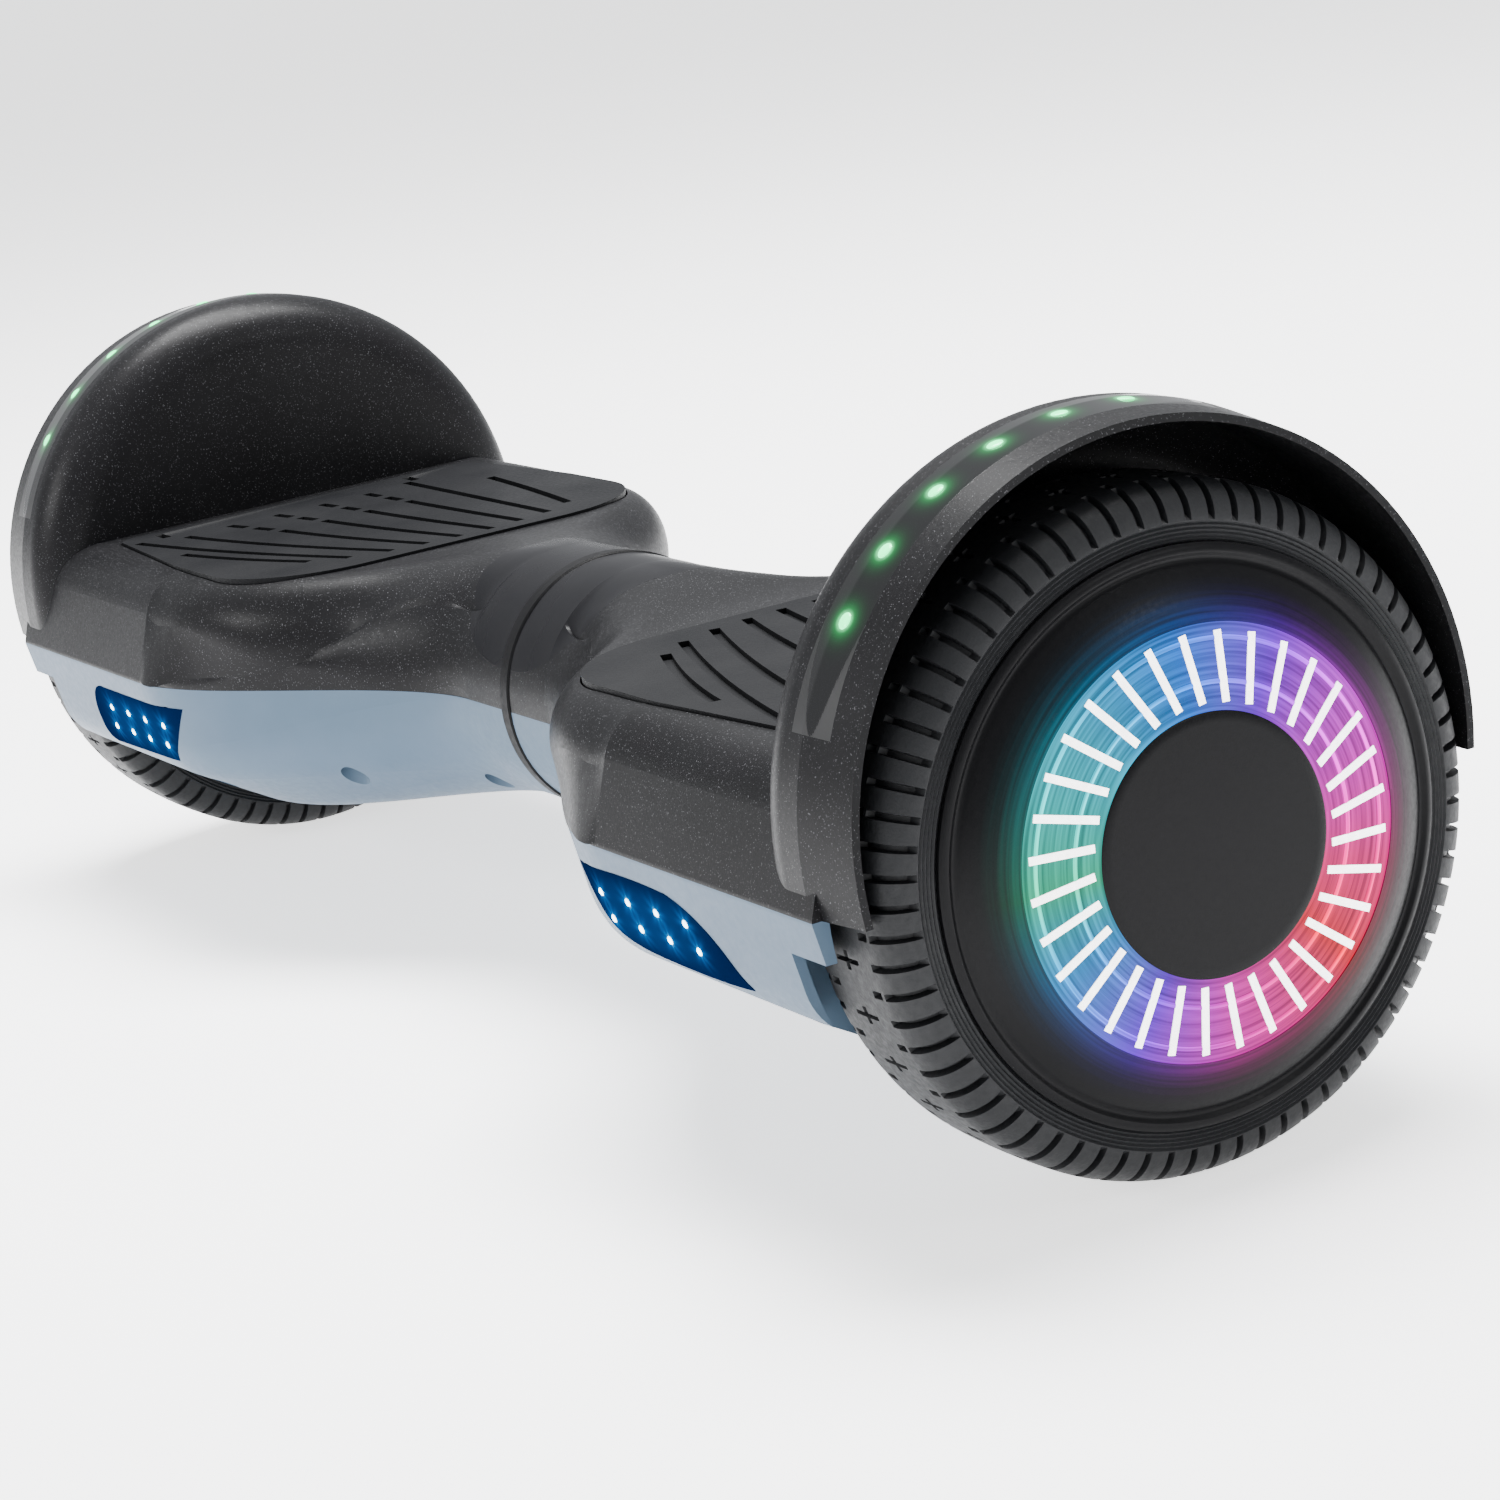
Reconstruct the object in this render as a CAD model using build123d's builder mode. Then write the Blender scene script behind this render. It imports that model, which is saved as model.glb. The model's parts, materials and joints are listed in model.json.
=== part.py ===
from build123d import *
import math
import os

# Two-wheeled self balancing board, millimetres.
# X runs along the wheel axle, the headlights face -Y, +Z is up and z = 0 is the floor.
# The board is drawn as its +X half; the -X half is the mirror image of it.

# ---------------------------------------------------------------- driving dimensions
wheel_radius = 82.5            # 6.5 inch tyre
axle_z = wheel_radius          # axle, frame pivot and shell parting line share one height
wall = 2.6                     # moulded shell wall
running_gap = 0.3              # between pieces that move past each other
fit_gap = 0.05                 # radial clearance of a running fit

seal_half = 2.5                # pivot seal, half its width
shell_start = seal_half + running_gap
collar_radius = 37.5
collar_end = 25.0              # the round collar becomes the shoulder here
shoulder_end = 158.0           # the shoulder becomes the straight platform here
crown_end = 92.0               # the top has dropped to platform height here
edge_start = 62.0              # on the upper shell the platform edge widens ahead of the rest
edge_end = 114.0
edge_lead = 0.9
cheek_x = 238.0                # inner face of the fender
cheek_wall = 3.0
platform_z = 114.5
platform_half = 80.0           # platform edge, before rounding
ridge_half = 90.0              # widest line of the board, at the parting line
keel_half = 84.0
keel_z = 54.0
belly_half = 50.0
belly_z = 34.0

fender_z = 94.0                # centre of the fender arch, higher than the axle
fender_radius = 88.5
fender_round = 16.0            # inner shoulder of the fender
fender_wall = 3.0
crown_x = 262.0                # the arch is widest from the shoulder to here
lip_x = 282.0
lip_radius = 86.0
lip_wall = 2.0
well_radius = 85.5             # wheel well cut in the lower shell
skirt_x = 250.0                # lower shell reaches this far past the cheek
tab_x = 266.0                  # small tab under the fender's end
tab_depth = 10.5

tyre_inner_x = 244.0
tyre_outer_x = 286.0
bead_radius = 66.5
hub_rim_radius = 68.3
hub_back_x = 284.5
hub_rim_x = 287.0
hub_apex_x = 296.0
light_inner = 31.0
light_outer = 51.0
light_drop = 2.0               # the light ring is a shallow cone
light_depth = 2.4
bar_count = 32
bar_length = 16.5
bar_width = 1.9
bar_depth = 0.8
bar_slant = 8.0

axle_radius = 10.0
shaft_radius = 11.0
shaft_bore = 7.0
shaft_reach = 70.0
tube_wall = 4.0
bearing_outer = 21.0
bearing_width = 8.0
inner_bearing_x = 247.0
outer_bearing_x = 272.5
stack_start = 252.5
stack_end = 269.5
air_gap = 0.5
magnet_inner = 55.5
magnet_outer = 58.3
tooth_count = 27
magnet_count = 30

pad_outer_x = 229.0
pad_inner_x = 95.0
pad_half = 70.0
pad_tip_half = 64.0
pad_corner = 36.0
pad_top = 115.3
pad_thick = 3.0
pad_travel = 1.2
pad_gap = 0.5
plunger_length = 5.0
tray_z = 108.4
tray_floor = 2.2

strip_start = 257.0            # glossy light strip around the fender
strip_end = 272.0
strip_depth = 1.2
strip_top = -21.0              # angles from straight up, towards the front
strip_tip = 70.0
led_first = -7.0
led_pitch = 11.9
led_count = 6
led_radius = 2.2

lens_depth = 1.6
lamp_pitch = 15.0
lamp_radius = 1.9
lamp_centre = 174.0
lens_drop = 17.5                # lens middle, down the face from the ridge
plunger_spots = [(x, y) for x in (140, 200) for y in (-30, 30)]

PLATFORM = [(platform_half, platform_z), (ridge_half, axle_z), (keel_half, keel_z), (belly_half, belly_z)]
PLATFORM_ROUNDS = [16.0, 3.6, 18.0, 20.0]
OCTAGON = math.tan(math.radians(22.5))
X_AXIS = Axis((0, 0, axle_z), (1, 0, 0))
RADIAL = Plane(origin=(0, 0, axle_z), x_dir=(1, 0, 0), z_dir=(0, -1, 0))


def facing_x(x, z=axle_z):
    """Plane across the axle: local x runs to +Y, local y runs up."""
    return Plane(origin=(x, 0, z), x_dir=(0, 1, 0), z_dir=(1, 0, 0))


def front_face(x, drop, sign=-1, out=0.0):
    """Plane on the steep lower face, drop mm down the slope from the ridge; sign -1 is the front."""
    run = ridge_half - keel_half
    fall = axle_z - keel_z
    length = math.hypot(run, fall)
    normal = (0, sign * fall / length, -run / length)
    y = sign * (ridge_half - run * drop / length) + normal[1] * out
    z = axle_z - fall * drop / length + normal[2] * out
    return Plane(origin=(x, y, z), x_dir=(1, 0, 0), z_dir=normal)


def ease(x, start, end):
    """Smooth step from 0 at start to 1 at end."""
    t = min(max((x - start) / (end - start), 0.0), 1.0)
    return t * t * (3 - 2 * t)


def shrink(corners, inset):
    """Corners of the same convex outline with every side moved inwards."""
    moved = []
    for index, corner in enumerate(corners):
        before = corners[index - 1]
        after = corners[(index + 1) % len(corners)]
        first = Vector(corner[0] - before[0], corner[1] - before[1]).normalized()
        second = Vector(after[0] - corner[0], after[1] - corner[1]).normalized()
        inward = Vector(first.Y + second.Y, -first.X - second.X).normalized()
        reach = inset / math.sqrt((1 + first.dot(second)) / 2)
        moved.append((corner[0] + inward.X * reach, corner[1] + inward.Y * reach))
    return moved


def body_section(x, inset=0.0, lead=0.0):
    """Closed section of the body at x: round at the collar, a faceted hull under the platform."""
    grow = ease(x, collar_end, shoulder_end)
    drop = ease(x, collar_end, crown_end)
    edge = grow + (1 - grow) * lead * ease(x, edge_start, edge_end)
    near = collar_radius * OCTAGON
    collar = [(near, collar_radius), (collar_radius, near), (collar_radius, -near), (near, -collar_radius)]
    corners = []
    rounds = []
    for index, (collar_point, hull_point) in enumerate(zip(collar, PLATFORM)):
        rise = drop if index == 0 else grow
        widen = edge if index == 0 else grow
        y = collar_point[0] + (hull_point[0] - collar_point[0]) * widen
        z = collar_point[1] + (hull_point[1] - axle_z - collar_point[1]) * rise
        corners.append((y, z))
        rounds.append(0.96 * collar_radius * (1 - widen) + PLATFORM_ROUNDS[index] * widen - inset)
    outline = shrink(corners + [(-y, z) for y, z in reversed(corners)], inset)
    with BuildSketch(facing_x(x)) as section:
        with BuildLine():
            FilletPolyline(*outline, radius=rounds + rounds[::-1], close=True)
        make_face()
    return section.sketch


def body_solid(inset, start, end, lead=0.0):
    """Solid of the body from the collar to the cheek, shrunk by inset."""
    stations = [collar_end + (shoulder_end - collar_end) * step / 6 for step in range(7)]
    with BuildPart() as body:
        extrude(body_section(start, inset), amount=collar_end - start)
        loft([body_section(x, inset, lead) for x in stations])
        extrude(body_section(shoulder_end, inset), amount=end - shoulder_end)
    return body.part


def turned(points, axis=X_AXIS, plane=RADIAL, arc=360):
    """Solid turned about the wheel axis from (x, radius) points."""
    with BuildPart() as solid:
        with BuildSketch(plane) as profile:
            with BuildLine():
                Polyline(*points, close=True)
            make_face()
        revolve(axis=axis, revolution_arc=arc)
    return solid.part


def ring(x0, x1, inner, outer):
    """Plain ring about the wheel axis."""
    return turned([(x0, inner), (x1, inner), (x1, outer), (x0, outer)])


def save(name, solid):
    solid.label = name
    export_step(solid, f"parts/{name}.step")


def save_pair(name, right):
    """Write the +X piece and its mirror image."""
    save(f"right_{name}", right)
    save(f"left_{name}", mirror(right, about=Plane.YZ))


os.makedirs("parts", exist_ok=True)

# ---------------------------------------------------------------- fender arch
fender_plane = Plane(origin=(0, 0, fender_z), x_dir=(1, 0, 0), z_dir=(0, -1, 0))
fender_axis = Axis((0, 0, fender_z), (1, 0, 0))
round_x = cheek_x + fender_round
round_r = fender_radius - fender_round
inner_round = fender_round - fender_wall
diagonal = math.sqrt(0.5)

with BuildPart() as fender:
    with BuildSketch(fender_plane):
        with BuildLine():
            Polyline((cheek_x, 0), (cheek_x, round_r))
            ThreePointArc((cheek_x, round_r),
                          (round_x - fender_round * diagonal, round_r + fender_round * diagonal),
                          (round_x, fender_radius))
            Polyline((round_x, fender_radius), (crown_x, fender_radius), (lip_x, lip_radius),
                     (lip_x, lip_radius - lip_wall), (crown_x, fender_radius - fender_wall),
                     (round_x, fender_radius - fender_wall))
            ThreePointArc((round_x, fender_radius - fender_wall),
                          (round_x - inner_round * diagonal, round_r + inner_round * diagonal),
                          (cheek_x + cheek_wall, round_r))
            Polyline((cheek_x + cheek_wall, round_r), (cheek_x + cheek_wall, 0), (cheek_x, 0))
        make_face()
    revolve(axis=fender_axis)

with BuildPart() as fender_hollow:
    with BuildSketch(fender_plane):
        with BuildLine():
            Polyline((cheek_x + cheek_wall, 0), (cheek_x + cheek_wall, round_r))
            ThreePointArc((cheek_x + cheek_wall, round_r),
                          (round_x - inner_round * diagonal, round_r + inner_round * diagonal),
                          (round_x, fender_radius - fender_wall))
            Polyline((round_x, fender_radius - fender_wall), (crown_x, fender_radius - fender_wall),
                     (lip_x, lip_radius - lip_wall), (lip_x, 0), (cheek_x + cheek_wall, 0))
        make_face()
    revolve(axis=fender_axis)


def strip_radius(x, sink=0.0):
    """Outer radius of the arch where the light strip lies."""
    slope = (fender_radius - lip_radius) / (lip_x - crown_x)
    return fender_radius - max(x - crown_x, 0) * slope - sink


def strip_profile(sink, proud):
    """Section of the strip, a band between sink and proud of the arch surface."""
    stations = (strip_start, crown_x, strip_end)
    inner = [(x, strip_radius(x, sink)) for x in stations]
    outer = [(x, strip_radius(x, -proud)) for x in reversed(stations)]
    return inner + outer


def arch_plane(angle):
    """Radial plane of the arch, turned from straight up towards the front by angle degrees."""
    lean = math.radians(angle)
    return Plane(origin=(0, 0, fender_z), x_dir=(1, 0, 0), z_dir=(0, -math.cos(lean), -math.sin(lean)))


with BuildPart() as strip_slot:
    with BuildSketch(arch_plane(strip_tip)):
        with BuildLine():
            Polyline(*strip_profile(strip_depth, 2.0), close=True)
        make_face()
    revolve(axis=fender_axis, revolution_arc=strip_top - strip_tip)

with BuildPart() as fender_leds:
    for index in range(led_count):
        plane = arch_plane(led_first + led_pitch * index)
        spot = plane.origin + plane.y_dir * (strip_radius((strip_start + strip_end) / 2) - 0.8)
        spot = spot + Vector((strip_start + strip_end) / 2, 0, 0)
        with BuildSketch(Plane(origin=spot, x_dir=(1, 0, 0), z_dir=plane.y_dir)):
            Circle(led_radius)
        extrude(amount=1.1)

with BuildPart() as fender_strip:
    add(strip_slot.part)
    add(fender.part, mode=Mode.INTERSECT)
    add(fender_leds.part, mode=Mode.SUBTRACT)

# ---------------------------------------------------------------- foot pad


def pad_outline(margin=0.0):
    """Plan of the foot pad: straight beside the cheek, round towards the shoulder."""
    half = pad_half + margin
    tip = pad_tip_half + margin
    far = pad_outer_x + margin
    near = pad_inner_x - margin
    corner = pad_corner + margin
    middle = (pad_outer_x + pad_inner_x) / 2
    corners = [(far, -tip), (far, tip), (middle, half), (near, half), (near, -half), (middle, -half)]
    with BuildSketch() as plan:
        with BuildLine():
            FilletPolyline(*corners, radius=[6, 6, 30, corner, corner, 30], close=True)
        make_face()
    return plan.sketch


pad_bottom = pad_top - pad_thick
with BuildPart() as foot_pad:
    extrude(Plane.XY.offset(pad_bottom) * pad_outline(), amount=pad_thick)
    fillet(foot_pad.faces().sort_by(Axis.Z)[-1].edges(), 0.8)
    with BuildSketch(Plane.XY.offset(pad_bottom)):
        with Locations(*plunger_spots):
            Circle(4)
    extrude(amount=-plunger_length)
save_pair("foot_pad", foot_pad.part)

# ---------------------------------------------------------------- shells
body_outer = body_solid(0.0, shell_start, cheek_x)
deck_outer = body_solid(0.0, shell_start, cheek_x, edge_lead)
deck_inner = body_solid(wall, shell_start, cheek_x, edge_lead)

window_start = shell_start
window_end = 44.0
window_sink = 1.0

with BuildPart() as window_zone:
    # the glossy indicator window: a leaf over the top front of the collar
    with BuildSketch(Plane.XZ):
        with BuildLine():
            Polyline((window_start, axle_z + 12), (window_start, axle_z + 60))
            Polyline((window_start, axle_z + 60), (window_end, axle_z + 60), (window_end, axle_z + 38))
            ThreePointArc((window_end, axle_z + 38), (window_end - 12, axle_z + 22),
                          (window_start, axle_z + 12))
        make_face()
    extrude(amount=60, both=True)

with BuildPart() as window_skin:
    add(deck_outer)
    add(window_zone.part, mode=Mode.INTERSECT)
    add(body_solid(window_sink, shell_start, cheek_x, edge_lead), mode=Mode.SUBTRACT)

screw_spots = [(x, side * y) for x, y in ((44, 24), (92, 50), (152, 70), (226, 70)) for side in (-1, 1)]
well_radius_shell = 4.2
boss_radius = 6.0
well_floor = 59.0
well_web = 3.0
screw_radius = 1.9
screw_top = 96.0


def pillars(radius, start, end, hull):
    """Round pillars at the screw places, trimmed to the hull."""
    with BuildPart() as group:
        with BuildSketch(Plane.XY.offset(start)):
            with Locations(*screw_spots):
                Circle(radius)
        extrude(amount=end - start)
        add(hull, mode=Mode.INTERSECT)
    return group.part


bosses = pillars(boss_radius, belly_z - 4, well_floor + well_web, body_outer)
posts = pillars(boss_radius, axle_z, fender_z + collar_radius, deck_outer)

with BuildPart() as fender_root:
    # the platform's side runs on past the cheek and dies into the arch
    extrude(body_section(cheek_x), amount=tab_x - cheek_x)
    add(fender_hollow.part, mode=Mode.SUBTRACT)
    with BuildSketch(facing_x(cheek_x + cheek_wall)):
        Circle(well_radius)
    extrude(amount=tab_x - cheek_x, mode=Mode.SUBTRACT)

tray_margin = 2.5
tray_top = platform_z - 1.0
with BuildPart() as tray:
    # floor and rim under the foot pad, kept inside the body
    extrude(Plane.XY.offset(tray_z) * pad_outline(tray_margin), amount=tray_top - tray_z)
    add(deck_outer, mode=Mode.INTERSECT)

with BuildPart() as upper_shell:
    add(deck_outer)
    add(deck_inner, mode=Mode.SUBTRACT)
    add(fender_root.part)
    add(posts)
    with BuildSketch(Plane.XY.offset(axle_z)):
        with Locations(*screw_spots):
            Circle(screw_radius + fit_gap)
    extrude(amount=screw_top + 1 - axle_z, mode=Mode.SUBTRACT)
    add(fender.part)
    add(tray.part)
    extrude(Plane.XY.offset(tray_z + tray_floor) * pad_outline(pad_gap), amount=20, mode=Mode.SUBTRACT)
    # four holes for the pad's plungers
    with BuildSketch(Plane.XY.offset(tray_z)):
        with Locations(*plunger_spots):
            Circle(5)
    extrude(amount=tray_floor, mode=Mode.SUBTRACT)
    add(strip_slot.part, mode=Mode.SUBTRACT)
    add(window_skin.part, mode=Mode.SUBTRACT)
    # axle opening in the cheek
    with BuildSketch(facing_x(cheek_x - 1)):
        Circle(axle_radius + 2)
    extrude(amount=cheek_wall + 2, mode=Mode.SUBTRACT)
    split(bisect_by=Plane.XY.offset(axle_z), keep=Keep.TOP)
save_pair("upper_shell", upper_shell.part)
save_pair("fender_strip", fender_strip.part)
save_pair("fender_leds", fender_leds.part)
save_pair("indicator_window", window_skin.part)


# ---------------------------------------------------------------- headlight
def lens_outline(kind, x):
    """Headlight outline on the front face; local x along the board, local y up the slope."""
    with BuildSketch(front_face(x, lens_drop)) as face:
        with BuildLine():
            if kind == "leaf":
                ThreePointArc((-37, 9), (-10, 11), (16, 10.5))
                ThreePointArc((16, 10.5), (33, 3.5), (46, -10))
                ThreePointArc((46, -10), (19, -12), (-8, -11))
                ThreePointArc((-8, -11), (-26, -3.5), (-37, 9))
            else:
                Polyline((-37, 10.5), (24, 10.5))
                ThreePointArc((24, 10.5), (36, 6), (39, -6))
                ThreePointArc((39, -6), (38.5, -10), (35, -11))
                Polyline((35, -11), (-22, -9), (-37, 10.5))
        make_face()
    return face.sketch


def lamp_holes(plane, radius):
    """Two staggered rows of four lamp places."""
    with BuildSketch(plane) as dots:
        for row, shift in ((3.6, 0.0), (-3.4, 2.5)):
            for column in range(4):
                with Locations(((column - 1.5) * lamp_pitch + shift, row)):
                    Circle(radius)
    return dots.sketch


def headlight(kind):
    """Lens and lamps of the +X headlight."""
    plane = front_face(lamp_centre, lens_drop, out=-lens_depth)
    with BuildPart() as lamps:
        extrude(lamp_holes(plane, lamp_radius), amount=-1.6)
    with BuildPart() as board:
        extrude(lens_outline(kind, lamp_centre), amount=lens_depth, both=True)
    with BuildPart() as lens:
        add(board.part)
        add(body_outer, mode=Mode.INTERSECT)
    return lens.part, lamps.part


# ---------------------------------------------------------------- lower shell
port_x = 190.0
port_drop = 17.0
port_radius = 9.0
button_radius = 6.5
button_drop = 15.0


def lower_shell(kind, hole_radius, hole_drop):
    """Lower half shell with its headlight recess and a round opening at the back."""
    lens, lamps = headlight(kind)
    with BuildPart() as shell:
        add(body_outer)
        extrude(body_section(cheek_x), amount=skirt_x - cheek_x)
        extrude(body_section(skirt_x), amount=tab_x - skirt_x)
        with Locations((tab_x, 0, axle_z - tab_depth - 50)):
            Box(2 * (tab_x - skirt_x), 300, 100, mode=Mode.SUBTRACT)
        add(body_solid(wall, shell_start, cheek_x - wall), mode=Mode.SUBTRACT)
        add(bosses)
        with BuildSketch(Plane.XY):
            with Locations(*screw_spots):
                Circle(well_radius_shell)
        extrude(amount=well_floor, mode=Mode.SUBTRACT)
        with BuildSketch(Plane.XY):
            with Locations(*screw_spots):
                Circle(screw_radius + 0.2)
        extrude(amount=axle_z, mode=Mode.SUBTRACT)
        with BuildSketch(facing_x(cheek_x + cheek_wall)):
            Circle(well_radius)
        extrude(amount=40, mode=Mode.SUBTRACT)
        with BuildSketch(facing_x(cheek_x - 2 * wall)):
            Circle(axle_radius + 2)
        extrude(amount=20, mode=Mode.SUBTRACT)
        add(lens, mode=Mode.SUBTRACT)
        lamp_bores = lamp_holes(front_face(lamp_centre, lens_drop), lamp_radius + 0.1)
        extrude(lamp_bores, amount=-6, mode=Mode.SUBTRACT)
        with BuildSketch(front_face(port_x, hole_drop, 1, 2)):
            Circle(hole_radius)
        extrude(amount=-8, mode=Mode.SUBTRACT)
        split(bisect_by=Plane.XY.offset(axle_z), keep=Keep.BOTTOM)
    return shell.part, lens, lamps


right_lower, right_lens, right_lamps = lower_shell("leaf", port_radius, port_drop)
left_lower, left_lens, left_lamps = lower_shell("round", button_radius + running_gap, button_drop)
save("right_lower_shell", right_lower)
save("right_headlight_lens", right_lens)
save("right_headlight_leds", right_lamps)
save("left_lower_shell", mirror(left_lower, about=Plane.YZ))
save("left_headlight_lens", mirror(left_lens, about=Plane.YZ))
save("left_headlight_leds", mirror(left_lamps, about=Plane.YZ))

with BuildPart() as shell_screws:
    with BuildSketch(Plane.XY.offset(well_floor - 2.5)):
        with Locations(*screw_spots):
            Circle(3.6)
    extrude(amount=2.5)
    with BuildSketch(Plane.XY.offset(well_floor - 2.5)):
        with Locations(*screw_spots):
            RegularPolygon(1.4, 6)
    extrude(amount=1.2, mode=Mode.SUBTRACT)
    with BuildSketch(Plane.XY.offset(well_floor)):
        with Locations(*screw_spots):
            Circle(screw_radius)
    extrude(amount=screw_top - well_floor)
save_pair("shell_screws", shell_screws.part)

# ---------------------------------------------------------------- wheel: the turning parts
tyre_shoulder = 8.0
tyre_wall_radius = 73.0
bead_lip_radius = 69.0
rim_outer = 66.4
rim_inner = 58.5
cover_start = 243.0
cover_end = 246.5
web_start = 280.5
rim_end = 284.3
seat_radius = bearing_outer + fit_gap
boss_outer = 24.5

with BuildPart() as tyre:
    with BuildSketch(RADIAL):
        with BuildLine():
            Polyline((rim_end, bead_radius), (tyre_inner_x, bead_radius), (tyre_inner_x, tyre_wall_radius))
            ThreePointArc((tyre_inner_x, tyre_wall_radius), (tyre_inner_x + 2.6, tyre_wall_radius + 6.8),
                          (tyre_inner_x + tyre_shoulder, wheel_radius))
            Line((tyre_inner_x + tyre_shoulder, wheel_radius), (tyre_outer_x - tyre_shoulder, wheel_radius))
            ThreePointArc((tyre_outer_x - tyre_shoulder, wheel_radius),
                          (tyre_outer_x - 2.6, tyre_wall_radius + 6.8), (tyre_outer_x, tyre_wall_radius))
            Polyline((tyre_outer_x, tyre_wall_radius), (tyre_outer_x, bead_lip_radius),
                     (rim_end, bead_lip_radius), (rim_end, bead_radius))
        make_face()
    revolve(axis=X_AXIS)
save_pair("tyre", tyre.part)

cover_hole_ring = 62.3
cover_hole_count = 8
rim_solid = turned([(cover_end, rim_inner), (cover_end, rim_outer), (rim_end, rim_outer), (rim_end, 0),
                    (rim_end - 2.3, 0), (rim_end - 2.3, seat_radius), (outer_bearing_x - 0.5, seat_radius),
                    (outer_bearing_x - 0.5, boss_outer), (web_start, boss_outer), (web_start, rim_inner)])
with BuildPart() as rim:
    add(rim_solid)
    with BuildSketch(facing_x(cover_end)):
        with PolarLocations(cover_hole_ring, cover_hole_count):
            Circle(1.6)
    extrude(amount=9, mode=Mode.SUBTRACT)
save_pair("rim", rim.part)

seat_end = inner_bearing_x + bearing_width
cover_solid = turned([(cover_start, axle_radius + 0.8), (cover_end, axle_radius + 0.8),
                      (cover_end, seat_radius), (seat_end, seat_radius), (seat_end, boss_outer),
                      (cover_end, boss_outer), (cover_end, rim_outer - 0.4), (cover_start, rim_outer - 0.4)])
with BuildPart() as inner_cover:
    add(cover_solid)
    with BuildSketch(facing_x(cover_start)):
        with PolarLocations(cover_hole_ring, cover_hole_count):
            Circle(1.7)
    extrude(amount=cover_end - cover_start, mode=Mode.SUBTRACT)
    with BuildSketch(facing_x(cover_start)):
        with PolarLocations(cover_hole_ring, cover_hole_count):
            Circle(3.1)
    extrude(amount=1.9, mode=Mode.SUBTRACT)
save_pair("inner_cover", inner_cover.part)

with BuildPart() as cover_screws:
    with BuildSketch(facing_x(cover_start + 0.1)):
        with PolarLocations(cover_hole_ring, cover_hole_count):
            Circle(2.9)
    extrude(amount=1.8)
    with BuildSketch(facing_x(cover_start + 0.1)):
        with PolarLocations(cover_hole_ring, cover_hole_count):
            RegularPolygon(1.3, 6)
    extrude(amount=1.0, mode=Mode.SUBTRACT)
    with BuildSketch(facing_x(cover_start + 1.9)):
        with PolarLocations(cover_hole_ring, cover_hole_count):
            Circle(1.5)
    extrude(amount=9.5)
save_pair("cover_screws", cover_screws.part)

with BuildPart() as magnets:
    with BuildSketch(facing_x(stack_start - 1)):
        Circle(magnet_outer)
        Circle(magnet_inner, mode=Mode.SUBTRACT)
        with PolarLocations((magnet_inner + magnet_outer) / 2, magnet_count):
            Rectangle(5, 1.0, mode=Mode.SUBTRACT)
    extrude(amount=stack_end - stack_start + 2)
save_pair("magnets", magnets.part)

hub_step_x = 293.5
hub_cap_x = hub_step_x + light_drop
with BuildPart() as hub_cover:
    with BuildSketch(RADIAL):
        with BuildLine():
            Polyline((hub_step_x, light_outer), (hub_step_x - light_depth, light_outer),
                     (hub_cap_x - light_depth, light_inner), (hub_cap_x, light_inner),
                     (hub_apex_x, light_inner - 4), (hub_apex_x, 0), (hub_back_x, 0),
                     (hub_back_x, hub_rim_radius), (hub_rim_x, hub_rim_radius), (hub_rim_x + 0.6, 66.0),
                     (hub_rim_x - 0.2, 65.2), (hub_rim_x - 0.2, 64.2), (hub_rim_x + 0.8, 63.2))
            ThreePointArc((hub_rim_x + 0.8, 63.2), (hub_rim_x + 4.2, 57.6), (hub_step_x, light_outer))
        make_face()
    revolve(axis=X_AXIS)
save_pair("hub_cover", hub_cover.part)

bar_radius = (light_inner + light_outer) / 2
cone_length = math.hypot(light_outer - light_inner, light_drop)
cone_sin = light_drop / cone_length
cone_cos = (light_outer - light_inner) / cone_length
with BuildPart() as light_bars:
    for index in range(bar_count):
        turn = 2 * math.pi * index / bar_count
        outward = Vector(0, math.sin(turn), math.cos(turn))
        spot = Vector(hub_step_x + light_drop / 2, 0, axle_z) + outward * bar_radius
        normal = Vector(cone_cos, 0, 0) + outward * cone_sin
        along = outward * cone_cos - Vector(cone_sin, 0, 0)
        with BuildSketch(Plane(origin=spot, x_dir=along, z_dir=normal)):
            Rectangle(bar_length, bar_width, rotation=bar_slant)
        extrude(amount=-bar_depth)
with BuildPart() as light_ring:
    add(turned([(hub_step_x, light_outer), (hub_cap_x, light_inner), (hub_cap_x - light_depth, light_inner),
                (hub_step_x - light_depth, light_outer)]))
    add(light_bars.part, mode=Mode.SUBTRACT)
save_pair("light_bars", light_bars.part)
save_pair("light_ring", light_ring.part)

# ---------------------------------------------------------------- bearings: outer races and balls turn
race = 3.0
ball_count = 9
ball_track = (axle_radius + bearing_outer) / 2
ball_radius = (bearing_outer - axle_radius) / 2 - race - fit_gap
bearing_starts = (inner_bearing_x, outer_bearing_x)
with BuildPart() as bearing_outers:
    for start in bearing_starts:
        add(ring(start, start + bearing_width, bearing_outer - race, bearing_outer))
        for index in range(ball_count):
            turn = 2 * math.pi * index / ball_count
            across = ball_track * math.sin(turn)
            with Locations((start + bearing_width / 2, across, axle_z + ball_track * math.cos(turn))):
                Sphere(ball_radius)
save_pair("bearing_outers", bearing_outers.part)
with BuildPart() as bearing_inners:
    for start in bearing_starts:
        add(ring(start, start + bearing_width, axle_radius, axle_radius + race))
save_pair("bearing_inners", bearing_inners.part)

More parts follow.
